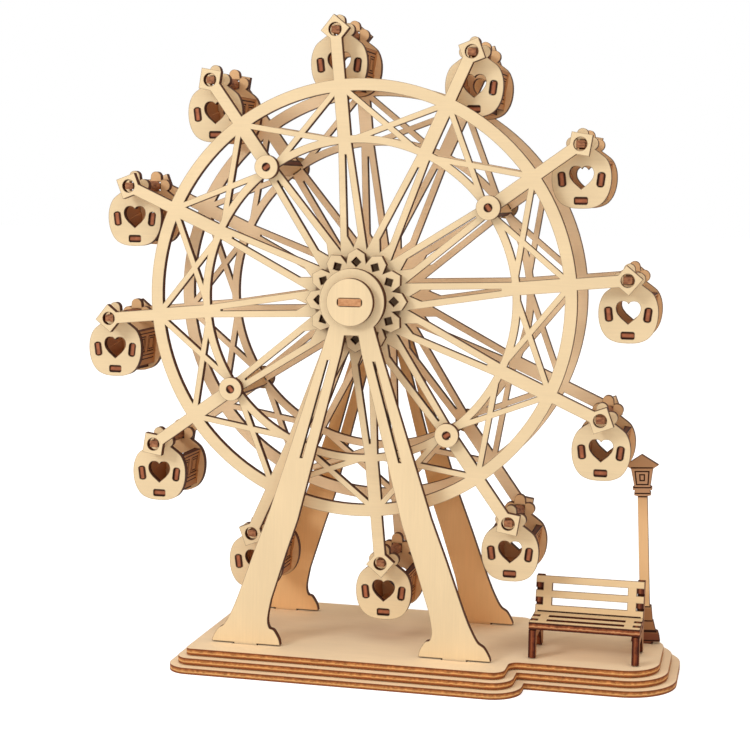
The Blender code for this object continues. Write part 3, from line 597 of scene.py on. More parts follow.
def clipped(points, start, end, offset):
    """The part of an outline that lies more than the offset to the left of a line."""
    line = Vector(end) - Vector(start)
    normal = Vector((-line.y, line.x)).normalized()

    def height(point):
        return (Vector(point) - Vector(start)).dot(normal) - offset

    kept = []
    for index, point in enumerate(points):
        previous = points[index - 1]
        above, below = height(point), height(previous)
        if (above > 0) != (below > 0):
            share = below / (below - above)
            kept.append(tuple(Vector(previous).lerp(Vector(point), share)))
        if above > 0:
            kept.append(point)
    return kept


def area(points):
    return sum(a[0] * b[1] - b[0] * a[1] for a, b in zip(points, points[1:] + points[:1])) / 2


def facing_wood(points, is_edge):
    """The outline in the direction that keeps the wood on its left."""
    return points if (area(points) > 0) == is_edge else points[::-1]


def inside(points, distance):
    """The outline moved to its left, into the wood, with its corners kept."""
    moved = []
    for index, point in enumerate(points):
        before = (Vector(point) - Vector(points[index - 1])).normalized()
        after = (Vector(points[(index + 1) % len(points)]) - Vector(point)).normalized()
        square = Vector((-before.y, before.x))
        left = Vector((-before.y - after.y, before.x + after.x))
        left = left.normalized() if left.length > HAIRPIN else square
        across = max(left.dot(square), SHARPEST_CORNER)
        moved.append(tuple(Vector(point) + left * distance / across))
    return moved


# Sheets

def new_sheet():
    """An empty sheet with the marks that the plywood reads."""
    shape = bmesh.new()
    layers = {name: shape.verts.layers.float.new(name) for name in POINT_MARKS}
    layers.update({name: shape.faces.layers.float.new(name) for name in FACE_MARKS})
    return shape, layers


def add_strips(shape, layers, outline, deeper, thickness, stains, closed=True):
    """The halo bands on both faces and the charred wall along one outline."""
    rows = []
    for points, height, burn, depth in (
            (deeper, 1, 0, 0), (outline, 1, 1, 0), (outline, -1, 1, 1), (deeper, -1, 0, 1)):
        row = [shape.verts.new((x, y, height * thickness / 2)) for x, y in points]
        for vertex in row:
            vertex[layers["burn"]] = burn
            vertex[layers["depth"]] = depth
        rows.append(row)
    for level, (upper, lower) in enumerate(zip(rows, rows[1:])):
        count = len(upper) if closed else len(upper) - 1
        for index in range(count):
            after = (index + 1) % len(upper)
            face = shape.faces.new((upper[index], upper[after], lower[after], lower[index]))
            face[layers["cut"]] = 1 if level == 1 else 0
            face[layers["stained"]] = stains[0] if level == 0 else stains[1]
    return rows[0], rows[3]


def sheet_mesh(name, outlines, thickness=PLY, stains=(0, 1)):
    """A cut sheet in its own plane: the first outline is its edge and the others are holes."""
    shape, layers = new_sheet()
    loops = [facing_wood(points, index == 0) for index, points in enumerate(outlines)]
    deeper = [inside(points, wood_look().halo_width) for points in loops]
    fronts, rears = [], []
    for points, inner in zip(loops, deeper):
        front, rear = add_strips(shape, layers, points, inner, thickness, stains)
        fronts += front
        rears += rear
    flat = [[Vector((x, y, 0)) for x, y in inner] for inner in deeper]
    for triangle in tessellate_polygon(flat):
        for corners, stain in ((fronts, stains[0]), (rears, stains[1])):
            face = shape.faces.new([corners[i] for i in triangle])
            face[layers["stained"]] = stain
    bmesh.ops.recalc_face_normals(shape, faces=shape.faces)
    return finished(name, shape)


def made_mesh(name, shape):
    """The mesh of a shape, which is freed."""
    mesh = bpy.data.meshes.new(name)
    shape.to_mesh(mesh)
    shape.free()
    return mesh


def finished(name, shape):
    """The mesh of a shape that has to be closed."""
    open_edges = [edge for edge in shape.edges if not edge.is_manifold]
    if open_edges:
        raise RuntimeError(f"{name} has {len(open_edges)} open edges")
    return made_mesh(name, shape)


def wiped_ends(mesh, axis, reach, swell=1.0):
    """The mesh with the ends of its tabs, beyond a reach along an axis, swollen and marked as wiped clean."""
    for vertex in mesh.vertices:
        if abs(vertex.co[axis]) > reach:
            vertex.co.z *= swell
    marks = mesh.attributes["browned"].data
    for face in mesh.polygons:
        if abs(face.center[axis]) > reach:
            marks[face.index].value = 1
    return mesh


def placed(mesh, matrix):
    """A copy of a mesh with its place in it."""
    copy = mesh.copy()
    copy.transform(matrix)
    return copy


def joined(name, meshes):
    """One mesh of several, with their attributes."""
    shape = bmesh.new()
    for mesh in meshes:
        shape.from_mesh(mesh)
    return made_mesh(name, shape)


def linked(name, data):
    """A new object in the scene."""
    obj = bpy.data.objects.new(name, data)
    bpy.context.scene.collection.objects.link(obj)
    return obj


def across_axle(y, turn=0.0):
    """The place of a sheet that stands across the axle, turned with the wheel."""
    return Matrix.Translation((0, y, AXLE_HEIGHT)) @ Matrix.Rotation(turn, 4, 'Y') @ FACES_FRONT


def add_piece(node, mesh, material, place=None, body="stand"):
    """A finished piece in its place, which rides on a body and stands for a CAD node."""
    if place is not None:
        mesh.transform(place)
    name = node + "_ply"
    mesh.name = name
    mesh.materials.clear()
    mesh.materials.append(material)
    obj = linked(name, mesh)
    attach(obj, body)
    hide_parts(node)


def dress(node, material):
    """A CAD node's own object with a material in each of its slots."""
    for slot in node.material_slots:
        slot.material = material
    if not node.material_slots:
        node.data.materials.append(material)


def evaluated(obj):
    """The plain mesh that an object's modifiers make."""
    return bpy.data.meshes.new_from_object(obj.evaluated_get(bpy.context.evaluated_depsgraph_get()))


def engraving_tool(lines, low, high):
    """Closed prisms over the lines, for cutting them: each has an outer outline, and an inner one or none."""
    shape = bmesh.new()
    for outer, inner in lines:
        loops = [facing_wood(outer, True)] + ([facing_wood(inner, False)] if inner else [])
        rows = [[[shape.verts.new((x, y, height)) for x, y in loop] for loop in loops]
                for height in (high, low)]
        for upper, lower in zip(*rows):
            for index in range(len(upper)):
                after = (index + 1) % len(upper)
                shape.faces.new((upper[index], upper[after], lower[after], lower[index]))
        flat = [[Vector((x, y, 0)) for x, y in loop] for loop in loops]
        for triangle in tessellate_polygon(flat):
            for row in rows:
                corners = [vertex for loop in row for vertex in loop]
                shape.faces.new([corners[i] for i in triangle])
    bmesh.ops.recalc_face_normals(shape, faces=shape.faces)
    return finished("engraving", shape)


def engraved_mesh(mesh, lines, top):
    """The mesh with lines cut into the face at the height top, and marked as engraved."""
    floor = top - ENGRAVING
    tool = linked("engraving", engraving_tool(lines, floor, top + ENGRAVING))
    blank = linked("blank", mesh)
    modifier = blank.modifiers.new("engraving", 'BOOLEAN')
    modifier.operation = 'DIFFERENCE'
    modifier.solver = 'EXACT'
    modifier.object = tool
    result = evaluated(blank)
    for obj in (tool, blank):
        bpy.data.objects.remove(obj, do_unlink=True)
    shape = bmesh.new()
    shape.from_mesh(result)
    layer = shape.faces.layers.float.get("engraved")
    for face in shape.faces:
        middle = face.calc_center_median().z
        in_wall = floor - WELD < middle < top - WELD and abs(face.normal.z) < STEEP_NORMAL
        on_floor = abs(middle - floor) < WELD
        lowest = min(vertex.co.z for vertex in face.verts)
        if (in_wall or on_floor) and lowest > floor - WELD:
            face[layer] = 1
    shape.to_mesh(result)
    shape.free()
    return result


# Geometry Nodes

def start_tree(name, inputs):
    """A Geometry Nodes tree with its inputs, as (name, kind, default) rows, and what they hand in."""
    tree = bpy.data.node_groups.new(name, 'GeometryNodeTree')
    for label, kind, value in (("Geometry", 'Geometry', None), *inputs, ("Material", 'Material', None)):
        socket = tree.interface.new_socket(label, in_out='INPUT', socket_type='NodeSocket' + kind)
        if value is not None:
            socket.default_value = value
    tree.interface.new_socket("Geometry", in_out='OUTPUT', socket_type='NodeSocketGeometry')
    return tree, add_node(tree, "NodeGroupInput").outputs


def end_tree(tree, geometry, material):
    """The end of a tree: its instances made real, and its material set."""
    real = add_node(tree, "GeometryNodeRealizeInstances", {"Geometry": geometry})
    dressed = add_node(tree, "GeometryNodeSetMaterial", {"Geometry": real, "Material": material})
    add_node(tree, "NodeGroupOutput", {0: dressed})
    return tree


def lattice_tree():
    """A sheet whose pattern repeats round a hub, from the strips of one sector."""
    tree, given = start_tree(LATTICE_TREE, (
        ("Sectors", 'Int', SPOKES), ("Thickness", 'Float', PLY), ("Stain in front", 'Float', 0.0),
        ("Single cuts", 'Object', None)))
    points = add_node(tree, "GeometryNodePoints", {"Count": given["Sectors"]})
    index = add_node(tree, "GeometryNodeInputIndex")
    step = add_node(tree, "ShaderNodeMath", {0: -2 * math.pi, 1: given["Sectors"]}, operation='DIVIDE')
    angle = add_node(tree, "ShaderNodeMath", {0: index, 1: step}, operation='MULTIPLY')
    turn = add_node(tree, "ShaderNodeCombineXYZ", {"Z": angle})
    spread = add_node(tree, "GeometryNodeInstanceOnPoints", {
        "Points": points, "Instance": given["Geometry"], "Rotation": turn})
    real = add_node(tree, "GeometryNodeRealizeInstances", {"Geometry": spread})
    single = add_node(tree, "GeometryNodeObjectInfo", {
        "Object": given["Single cuts"]}, transform_space='ORIGINAL')
    strips = add_node(tree, "GeometryNodeJoinGeometry", {"Geometry": real})
    tree.links.new(single.outputs["Geometry"], strips.inputs[0])
    welded = add_node(tree, "GeometryNodeMergeByDistance", {"Geometry": strips, "Distance": WELD})
    # The open edges, above and below, bound the two faces between the strips
    neighbours = add_node(tree, "GeometryNodeInputMeshEdgeNeighbors")
    is_open = add_node(tree, "FunctionNodeCompare", {
        2: neighbours, 3: 1}, data_type='INT', operation='EQUAL')
    position = add_node(tree, "GeometryNodeInputPosition")
    parts = add_node(tree, "ShaderNodeSeparateXYZ", {0: position})
    whole = add_node(tree, "GeometryNodeJoinGeometry", {"Geometry": welded})
    rear_stain = add_node(tree, "ShaderNodeMath", {0: 1.0, 1: given["Stain in front"]}, operation='SUBTRACT')
    for half, operation, stain in ((0.5, 'GREATER_THAN', given["Stain in front"]),
                                   (-0.5, 'LESS_THAN', rear_stain)):
        on_side = add_node(tree, "FunctionNodeCompare", {
            0: parts.outputs["Z"], 1: 0.0}, data_type='FLOAT', operation=operation)
        both = add_node(tree, "FunctionNodeBooleanMath", {0: is_open, 1: on_side}, operation='AND')
        loops = add_node(tree, "GeometryNodeMeshToCurve", {"Mesh": welded, "Selection": both})
        fill = add_node(tree, "GeometryNodeFillCurve", {"Curve": loops})
        height = add_node(tree, "ShaderNodeMath", {0: given["Thickness"], 1: half}, operation='MULTIPLY')
        lift = add_node(tree, "ShaderNodeCombineXYZ", {"Z": height})
        raised = add_node(tree, "GeometryNodeSetPosition", {"Geometry": fill, "Offset": lift})
        marked = add_node(tree, "GeometryNodeStoreNamedAttribute", {
            "Geometry": raised, "Name": "stained", "Value": stain},
            data_type='FLOAT', domain='FACE')
        tree.links.new(marked.outputs[0], whole.inputs[0])
    closed = add_node(tree, "GeometryNodeMergeByDistance", {"Geometry": whole, "Distance": WELD})
    return end_tree(tree, closed, given["Material"])


def hanging_tree():
    """One of the places round the wheel where a gondola hangs, always upright."""
    tree, given = start_tree(HANGING_TREE, (
        ("Places", 'Int', SPOKES), ("Place", 'Int', 0), ("Radius", 'Float', PIVOT_RADIUS),
        ("Turn", 'Float', WHEEL_TURN), ("Axle height", 'Float', AXLE_HEIGHT)))
    index = add_node(tree, "GeometryNodeInputIndex")
    step = add_node(tree, "ShaderNodeMath", {0: 2 * math.pi, 1: given["Places"]}, operation='DIVIDE')
    angle = add_node(tree, "ShaderNodeMath", {
        0: index, 1: step, 2: given["Turn"]}, operation='MULTIPLY_ADD')
    across = add_node(tree, "ShaderNodeMath", {0: angle}, operation='SINE')
    up = add_node(tree, "ShaderNodeMath", {0: angle}, operation='COSINE')
    x = add_node(tree, "ShaderNodeMath", {0: across, 1: given["Radius"]}, operation='MULTIPLY')
    z = add_node(tree, "ShaderNodeMath", {
        0: up, 1: given["Radius"], 2: given["Axle height"]}, operation='MULTIPLY_ADD')
    spot = add_node(tree, "ShaderNodeCombineXYZ", {"X": x, "Z": z})
    points = add_node(tree, "GeometryNodePoints", {"Count": given["Places"], "Position": spot})
    chosen = add_node(tree, "FunctionNodeCompare", {
        2: index, 3: given["Place"]}, data_type='INT', operation='EQUAL')
    hung = add_node(tree, "GeometryNodeInstanceOnPoints", {
        "Points": points, "Instance": given["Geometry"], "Selection": chosen})
    return end_tree(tree, hung, given["Material"])


def grown(tree, mesh, values):
    """The plain mesh that a tree makes of a mesh, with its inputs set by name."""
    source = linked(tree.name, mesh)
    modifier = source.modifiers.new(tree.name, 'NODES')
    modifier.node_group = tree
    sockets = {item.name: item.identifier for item in tree.interface.items_tree if item.in_out == 'INPUT'}
    for name, value in values.items():
        modifier[sockets[name]] = value
    result = evaluated(source)
    source.modifiers.remove(modifier)
    bpy.data.objects.remove(source, do_unlink=True)
    return result


def strip_mesh(name, strips, stains):
    """A mesh of strips alone, as (outline, outline deeper in the wood, whether it is closed) rows."""
    shape, layers = new_sheet()
    for outline, deeper, closed in strips:
        add_strips(shape, layers, outline, deeper, PLY, stains, closed)
    return made_mesh(name, shape)


def round_sheet(name, material, edge, openings, single, stains):
    """A sheet from one sector's part of the edge, its openings, and cuts that don't repeat."""
    halo = wood_look().halo_width
    whole = [point for index in range(SPOKES) for point in turned(edge, index * SECTOR)][::-1]
    span = slice(0, len(edge) + 1)
    openings, single = ([facing_wood(points, False) for points in holes] for holes in (openings, single))
    strips = [(whole[span], inside(whole, halo)[span], False)]
    strips += [(loop, inside(loop, halo), True) for loop in openings]
    cuts = [(loop, inside(loop, HIDDEN_HALO), True) for loop in single]
    cut_object = linked(name + "_cuts", strip_mesh(name + "_cuts", cuts, stains))
    tree = bpy.data.node_groups.get(LATTICE_TREE) or lattice_tree()
    mesh = grown(tree, strip_mesh(name + "_sector", strips, stains), {
        "Sectors": SPOKES, "Thickness": PLY, "Stain in front": float(stains[0]),
        "Single cuts": cut_object, "Material": material})
    bpy.data.objects.remove(cut_object, do_unlink=True)
    shape = bmesh.new()
    shape.from_mesh(mesh)
    bmesh.ops.remove_doubles(shape, verts=shape.verts, dist=WELD)
    bmesh.ops.recalc_face_normals(shape, faces=shape.faces)
    return finished(name, shape)


# The pieces' outlines

def rim_sector():
    """One sector of the wheel side's outer edge, clockwise: an arm with its square head, then the ring."""
    arm, corner = ARM_WIDTH / 2, HEAD_SIDE / math.sqrt(2)
    root = math.asin(arm / OUTER_RING)
    neck = PIVOT_RADIUS - corner + arm
    head = [(-arm, neck), (-corner, PIVOT_RADIUS), (0, PIVOT_RADIUS + corner),
            (corner, PIVOT_RADIUS), (arm, neck)]
    return head + arc(OUTER_RING, root, SECTOR - root, RING_STEPS)


def wheel_openings():
    """The openings of one sector: the spoke's slit, the pivot hole, four braced windows and an inner one."""
    inner, outer, half = INNER_RING, OUTER_RING - OUTER_RING_WIDTH, SPOKE_WIDTH / 2
    low, high = SECTOR / 2 - math.asin(half / inner), SECTOR / 2 - math.asin(half / outer)
    window = arc(inner, low, -low, RING_STEPS) + arc(outer, -high, high, RING_STEPS)
    turn_out, turn_in = SECTOR / 2 * BRACE_OUTER_SHARE, SECTOR / 2 * BRACE_INNER_SHARE
    falling = (polar(outer, -turn_out), polar(inner, turn_in))
    rising = (polar(inner, -turn_in), polar(outer, turn_out))
    between = [clipped(clipped(window, *first, BRACE_WIDTH / 2), *second, BRACE_WIDTH / 2)
               for first in (falling, falling[::-1]) for second in (rising, rising[::-1])]
    ring = INNER_RING - INNER_RING_WIDTH
    spread = SECTOR / 2 - math.asin(half / ring)
    between.append([(0, SPOKE_ROOT / math.cos(SECTOR / 2))] + arc(ring, -spread, spread, RING_STEPS))
    slit = [(0, SLIT_START), (SLIT_WIDTH / 2, SLIT_WIDEST), (SLIT_END_WIDTH / 2, SLIT_END),
            (-SLIT_END_WIDTH / 2, SLIT_END), (-SLIT_WIDTH / 2, SLIT_WIDEST)]
    pivot_hole = circle(PIVOT_HOLE, HOLE_STEPS, (0, PIVOT_RADIUS))
    return [slit, pivot_hole] + [turned(points, SECTOR / 2) for points in between]


def petal_sector():
    half = PETAL_WIDTH / 2
    return [(-half, PETAL_SHOULDER), (0, PETAL_TIP), (half, PETAL_SHOULDER), polar(PETAL_VALLEY, SECTOR / 2)]


def diamond():
    reach = DIAMOND_SIDE / math.sqrt(2)
    return [(x * reach, DIAMOND_RADIUS + y * reach) for x, y in ((0, -1), (1, 0), (0, 1), (-1, 0))]


def axle_slot():
    """The slot round the axle bar, whose short ends the laser left round."""
    return rounded_rectangle(SLOT_WIDTH, AXLE_SLOT_HEIGHT, AXLE_SLOT_CORNER)


def base_outline(step):
    """The edge of a base layer that stands out from the top layer by a step."""
    width, depth = FIELD_HALF_WIDTH + step, FIELD_HALF_DEPTH + step
    tongue, end = TONGUE_HALF_DEPTH + step, TONGUE_END + step
    left, right = FIELD_LEFT_CORNER + step, FIELD_RIGHT_CORNER + step
    neck = max(0, NECK_FILLET - step)
    front = [(-width, -depth, left), (width, -depth, right), (width, -tongue, neck),
             (end, -tongue, TONGUE_CORNER + step)]
    return rounded(front + [(x, -y, radius) for x, y, radius in reversed(front)])


def leg_points(shares):
    return [(x * FOOT_SPREAD, z * STANDING_HEIGHT - STANDING_HEIGHT) for x, z in shares]


def frame_outlines():
    """A standing frame with the axle at zero: a round head, two legs and flared feet."""
    outer = leg_points(LEG_OUTER[1:-1]) + eased(leg_points(LEG_OUTER_FLARE), FLARE_STEPS)
    inner = eased(leg_points(LEG_INNER_FLARE), FLARE_STEPS) + leg_points(LEG_INNER)
    x, z = leg_points(LEG_OUTER[:1])[0]
    head = arc(FRAME_HEAD, 0, math.atan2(x, z), ROUND_STEPS // 3)
    foot = -STANDING_HEIGHT
    left, right, tip = FOOT_TAB_X - FOOT_TAB / 2, FOOT_TAB_X + FOOT_TAB / 2, foot - GAP - BASE_PLY
    tab = [(right, foot), (right, tip), (left, tip), (left, foot)]
    edge = mirrored(head + outer + tab + inner + [(OPENING_TOP_WIDTH / 2, -OPENING_TOP_DROP)])
    (x0, z0), (x1, z1) = leg_points(LEG_SLIT)
    half = LEG_SLIT_WIDTH / 2
    slit = [(x0 - half, z0), (x0 + half, z0), (x1 + half, z1), (x1 - half, z1)]
    return [edge, axle_slot(), slit, [(-x, z) for x, z in slit]]


def gondola_edge():
    """The plate's edge with the pivot at zero: a three-lobed neck above a round body."""
    top = arc(TOP_LOBE, 0, math.pi / 2, TOP_LOBE_STEPS, (0, TOP_LOBE_RISE))
    side = arc(NECK_LOBE, -math.pi / 6, math.pi * 5 / 6, NECK_LOBE_STEPS, (NECK_LOBE_REACH, NECK_LOBE_RISE))
    height = BODY_BOTTOM - BODY_TOP
    body = eased([(x * BODY_HALF_WIDTH, -BODY_TOP - z * height) for x, z in BODY_SHARES], BODY_STEPS)
    return mirrored(top + side + body)


def heart():
    points = [(x * HEART_WIDTH / 2, -HEART_TOP - z * HEART_HEIGHT) for x, z in HEART_SHARES]
    return mirrored(eased(points[:-1], HEART_STEPS) + points[-1:])


def tabbed_panel(width):
    """A panel behind the front plate, as (y, width) points: its tabs pass both plates."""
    front, rear = PLATE_INSIDE - GAP, PLATE_INSIDE + GAP
    front_tip, rear_tip = GONDOLA_HALF_DEPTH - TAB_INSET, GONDOLA_HALF_DEPTH + GAP / 2
    tab, half = WALL_TAB / 2, width / 2
    upper = [(rear_tip, tab), (rear, tab), (rear, half), (-front, half), (-front, tab), (-front_tip, tab)]
    return upper + [(y, -x) for y, x in reversed(upper)]


def framed(width, height, centre):
    """An engraved rectangle as an outline pair."""
    inner = rectangle(width - 2 * ENGRAVED_LINE, height - 2 * ENGRAVED_LINE, centre)
    return rectangle(width, height, centre), inner


def wall_lines():
    """A wall's engraving: two double-framed windows, and lines above and below them."""
    lines = [framed(CABIN_LENGTH * length, WALL_HEIGHT * height, (y, WINDOW_RISE))
             for y in (-CABIN_LENGTH / 4, CABIN_LENGTH / 4) for length, height in WINDOW_FRAMES]
    return lines + [(rectangle(WALL_LINE_LENGTH, ENGRAVED_LINE, (0, share * WALL_HEIGHT)), None)
                    for share in WALL_LINES]


def seat_outlines():
    """The seat seen from above, with the middle of its front edge at zero."""
    half, slot = BENCH_WIDTH / 2, SEAT_SLOT / 2
    notch, right = half - END_NOTCH, [(half, 0)]
    for share in SEAT_SLOT_SHARES:
        low, high = share * SEAT_DEPTH - slot, share * SEAT_DEPTH + slot
        right += [(half, low), (notch, low), (notch, high), (half, high)]
    right.append((half, SEAT_DEPTH))
    holes = [rectangle(SLAT_SLOT_LENGTH, SEAT_SLOT, (0, share * SEAT_DEPTH)) for share in SEAT_SLOT_SHARES]
    return [mirrored(right)] + holes


def back_outlines():
    """The back seen from the front, with the middle of its lower edge at zero."""
    half, band = BENCH_WIDTH / 2, BACK_HEIGHT / BACK_BANDS
    notch, right, holes = half - END_NOTCH, [(half, 0)], []
    for index in BACK_WINDOW_BANDS:
        low, high = index * band, (index + 1) * band
        right += [(half, low), (notch, low), (notch, high), (half, high)]
        holes.append(rectangle(SLAT_SLOT_LENGTH, band, (0, (low + high) / 2)))
    right.append((half, BACK_HEIGHT))
    return [mirrored(right)] + holes


def back_point(across, along):
    """A point of the side plate, measured across and along the leaning back."""
    c, s = math.cos(BACK_LEAN), math.sin(BACK_LEAN)
    return SEAT_DEPTH + across * c + along * s, SEAT_HEIGHT + GAP - across * s + along * c


def bench_side_outline():
    """A bench side as (y, z) from the front of the seat and the top of the base."""
    under = SEAT_HEIGHT - PLY - GAP
    rail, foot, rear = under - RAIL_HEIGHT, GAP, REAR_LEG_REACH - BENCH_FRONT
    edge = [(0, foot), (0, under)]
    for share in SEAT_SLOT_SHARES:
        y, half = share * SEAT_DEPTH, SEAT_SLOT / 2 - GAP
        edge += [(y - half, under), (y - half, SEAT_HEIGHT), (y + half, SEAT_HEIGHT), (y + half, under)]
    edge.append((SEAT_DEPTH + GAP, under))
    face, band = PLY + GAP, BACK_HEIGHT / BACK_BANDS
    edge.append(back_point(face, 0))
    for index in BACK_WINDOW_BANDS:
        low, high = index * band + GAP, (index + 1) * band - GAP
        edge += [back_point(face, low), back_point(0, low), back_point(0, high), back_point(face, high)]
    edge += [back_point(face, BACK_HEIGHT), back_point(face + POST_WIDTH, BACK_HEIGHT)]
    edge.append(back_point(face + POST_WIDTH, -PLY))
    edge += [(rear, foot), (rear - LEG_WIDTH, foot), (SEAT_DEPTH - LEG_WIDTH, rail), (LEG_WIDTH, rail)]
    edge.append((LEG_WIDTH, foot))
    return edge


def lamp_outline():
    """The lamp's silhouette: a stepped plinth, a post, collars, a lantern and a roof."""
    half = [(x * LAMP_HALF_FOOT, z * LAMP_HEIGHT + GAP) for x, z in LAMP_SHARES]
    return mirrored([(LAMP_TAB / 2, -BASE_PLY), (LAMP_TAB / 2, GAP)] + half)


def lamp_lines():
    """The lamp's engraving: two panes on the lantern, and lines across its collars and plinth."""
    lines = []
    for bottom, top, low, high in LAMP_PANES:
        z0, z1 = low * LAMP_HEIGHT + GAP, high * LAMP_HEIGHT + GAP
        outer = [(-bottom, z0), (bottom, z0), (top, z1), (-top, z1)]
        lines.append((outer, inside(outer, LAMP_LINE)))
    for height, half, thickness in LAMP_BARS:
        centre = (0, height * LAMP_HEIGHT + GAP)
        lines.append((rectangle(2 * half * LAMP_HALF_FOOT, thickness * LAMP_LINE, centre), None))
    return lines


# Settings, pieces and panel

class FerrisWheelLook(bpy.types.PropertyGroup):
    """Colours and cut marks of the plywood."""
    clean_face: bpy.props.FloatVectorProperty(
        name="Clean face", description="Colour of the sheets' better face", subtype='COLOR', size=4,
        min=0, max=1, default=linear("#EDD4AB"))
    halo_width: bpy.props.FloatProperty(
        name="Halo width", description="How far the scorch reaches in from a cut", subtype='DISTANCE',
        default=0.00022, min=0.00005, max=0.0004)
    halo_strength: bpy.props.FloatProperty(
        name="Halo strength", description="How dark the scorch is at the cut", subtype='FACTOR',
        default=0.75, min=0, max=1)
    halo_falloff: bpy.props.FloatProperty(
        name="Halo falloff", description="How quickly the scorch fades", default=1.6, min=0.2, max=6)
    grain_strength: bpy.props.FloatProperty(
        name="Grain", description="Contrast of the fibres", subtype='FACTOR', default=0.12, min=0, max=1)
    cloud_strength: bpy.props.FloatProperty(
        name="Clouds", description="Contrast of the broad clouds in the veneer", subtype='FACTOR',
        default=0.2, min=0, max=1)


class PieceOperator:
    """What every building step shares: it can be undone, and shows up in the last action's panel."""
    bl_options = {'REGISTER', 'UNDO'}


class FERRIS_OT_base(PieceOperator, bpy.types.Operator):
    """Build the three stepped layers of the base"""
    bl_idname = "ferris.base"
    bl_label = "Base"

    def execute(self, context):
        slots = [rectangle(FOOT_TAB + 2 * GAP, SLOT_HEIGHT, (x, y))
                 for x in (-FOOT_TAB_X, FOOT_TAB_X) for y in (-FRAME_Y, FRAME_Y)]
        slots.append(rectangle(LAMP_TAB + 2 * GAP, SLOT_HEIGHT, (LAMP_X, LAMP_Y)))
        for level, name in enumerate(("base_bottom_layer", "base_middle_layer", "base_top_layer")):
            outlines = [base_outline((2 - level) * BASE_STEP)] + (slots if level == 2 else [])
            height = BASE_PLY / 2 + level * (BASE_PLY + GAP)
            add_piece(name, sheet_mesh(name, outlines, BASE_PLY), wood("birch_plywood_base"),
                      Matrix.Translation((0, 0, height)))
        return {'FINISHED'}


class FERRIS_OT_frames(PieceOperator, bpy.types.Operator):
    """Build the two standing frames"""
    bl_idname = "ferris.frames"
    bl_label = "Standing frames"

    def execute(self, context):
        for end, side, stains in SIDES:
            mesh = sheet_mesh("a_frame", frame_outlines(), PLY, stains)
            add_piece("a_frame_" + end, mesh, wood("birch_plywood_upright"), across_axle(side * FRAME_Y))
        return {'FINISHED'}


class FERRIS_OT_hub(PieceOperator, bpy.types.Operator):
    """Build the caps, petal discs and bushes, and dress the axle bar"""
    bl_idname = "ferris.hub"
    bl_label = "Hub"

    def execute(self, context):
        plain = wood("birch_plywood")
        for end, side, stains in SIDES:
            cap = sheet_mesh("axle_cap", [circle(CAP_RADIUS, ROUND_STEPS), axle_slot()], PLY, stains)
            add_piece("axle_cap_" + end, cap, wood("birch_plywood_upright"), across_axle(side * CAP_Y))
            hole = circle(BOSS_RADIUS + GAP, ROUND_STEPS)
            petals = round_sheet("petal_disc", plain, petal_sector(), [diamond()], [hole], stains)
            add_piece("petal_disc_" + end, petals, plain, across_axle(side * PETAL_Y))
            flange = sheet_mesh("flange", [circle(BUSH_RADIUS, ROUND_STEPS), axle_slot()], PLY, stains)
            boss = sheet_mesh("boss", [circle(BOSS_RADIUS, ROUND_STEPS), axle_slot()], 2 * LAYER, stains)
            boss.transform(Matrix.Translation((0, 0, side * (PLY / 2 + LAYER))))
            bush = joined("hub_bush", [flange, boss])
            add_piece("hub_bush_" + end, bush, plain, across_axle(side * BUSH_Y))
        dress(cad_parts["axle_bar"], wood("bare_plywood_tab"))
        return {'FINISHED'}


class FERRIS_OT_wheel(PieceOperator, bpy.types.Operator):
    """Build the two lattice sides of the wheel"""
    bl_idname = "ferris.wheel"
    bl_label = "Wheel sides"

    def execute(self, context):
        material = wood("birch_plywood_wheel")
        slot = rectangle(ROD_TENON + 2 * GAP, SLOT_HEIGHT, (0, ROD_RADIUS))
        single = [circle(BOSS_RADIUS + GAP, ROUND_STEPS)]
        single += [turned(slot, index * SECTOR) for index in ROD_SPOKES]
        for end, side, stains in SIDES:
            mesh = round_sheet("wheel_side", material, rim_sector(), wheel_openings(), single, stains)
            add_piece("wheel_side_" + end, mesh, material, across_axle(side * SIDE_Y, WHEEL_TURN), "wheel")
        return {'FINISHED'}


class FERRIS_OT_rods(PieceOperator, bpy.types.Operator):
    """Build the four tie rods with their washers"""
    bl_idname = "ferris.rods"
    bl_label = "Tie rods"

    def execute(self, context):
        bar, tenon, end = ROD_WIDTH / 2, ROD_TENON / 2, TENON_END / 2
        shoulder, face = WHEEL_HALF_WIDTH - PLY - GAP, WASHER_Y - PLY / 2
        tip = WASHER_Y + PLY / 2 - GAP
        quarter = [(end, tip), (end, face), (tenon, face), (tenon, shoulder), (bar, shoulder)]
        right = quarter + [(x, -y) for x, y in reversed(quarter)]
        rod = sheet_mesh("tie_rod", [right + [(-x, -y) for x, y in right]], PLY, (1, 1))
        parts = [wiped_ends(rod, 1, face)]
        ring = [circle(WASHER_RADIUS, HOLE_STEPS), circle(WASHER_HOLE, HOLE_STEPS)]
        for _, side, stains in SIDES:
            washer = sheet_mesh("washer", ring, PLY, stains)
            parts.append(placed(washer, Matrix.Translation((0, side * WASHER_Y, 0)) @ FACES_FRONT))
        whole = joined("tie_rod", parts)
        for number, index in enumerate(ROD_SPOKES, start=1):
            angle = WHEEL_TURN + index * SECTOR
            x, z = polar(ROD_RADIUS, angle)
            place = Matrix.Translation((x, 0, AXLE_HEIGHT + z)) @ Matrix.Rotation(angle, 4, 'Y')
            add_piece(f"tie_rod_{number}", whole.copy(), wood("birch_plywood"), place, "wheel")
        return {'FINISHED'}


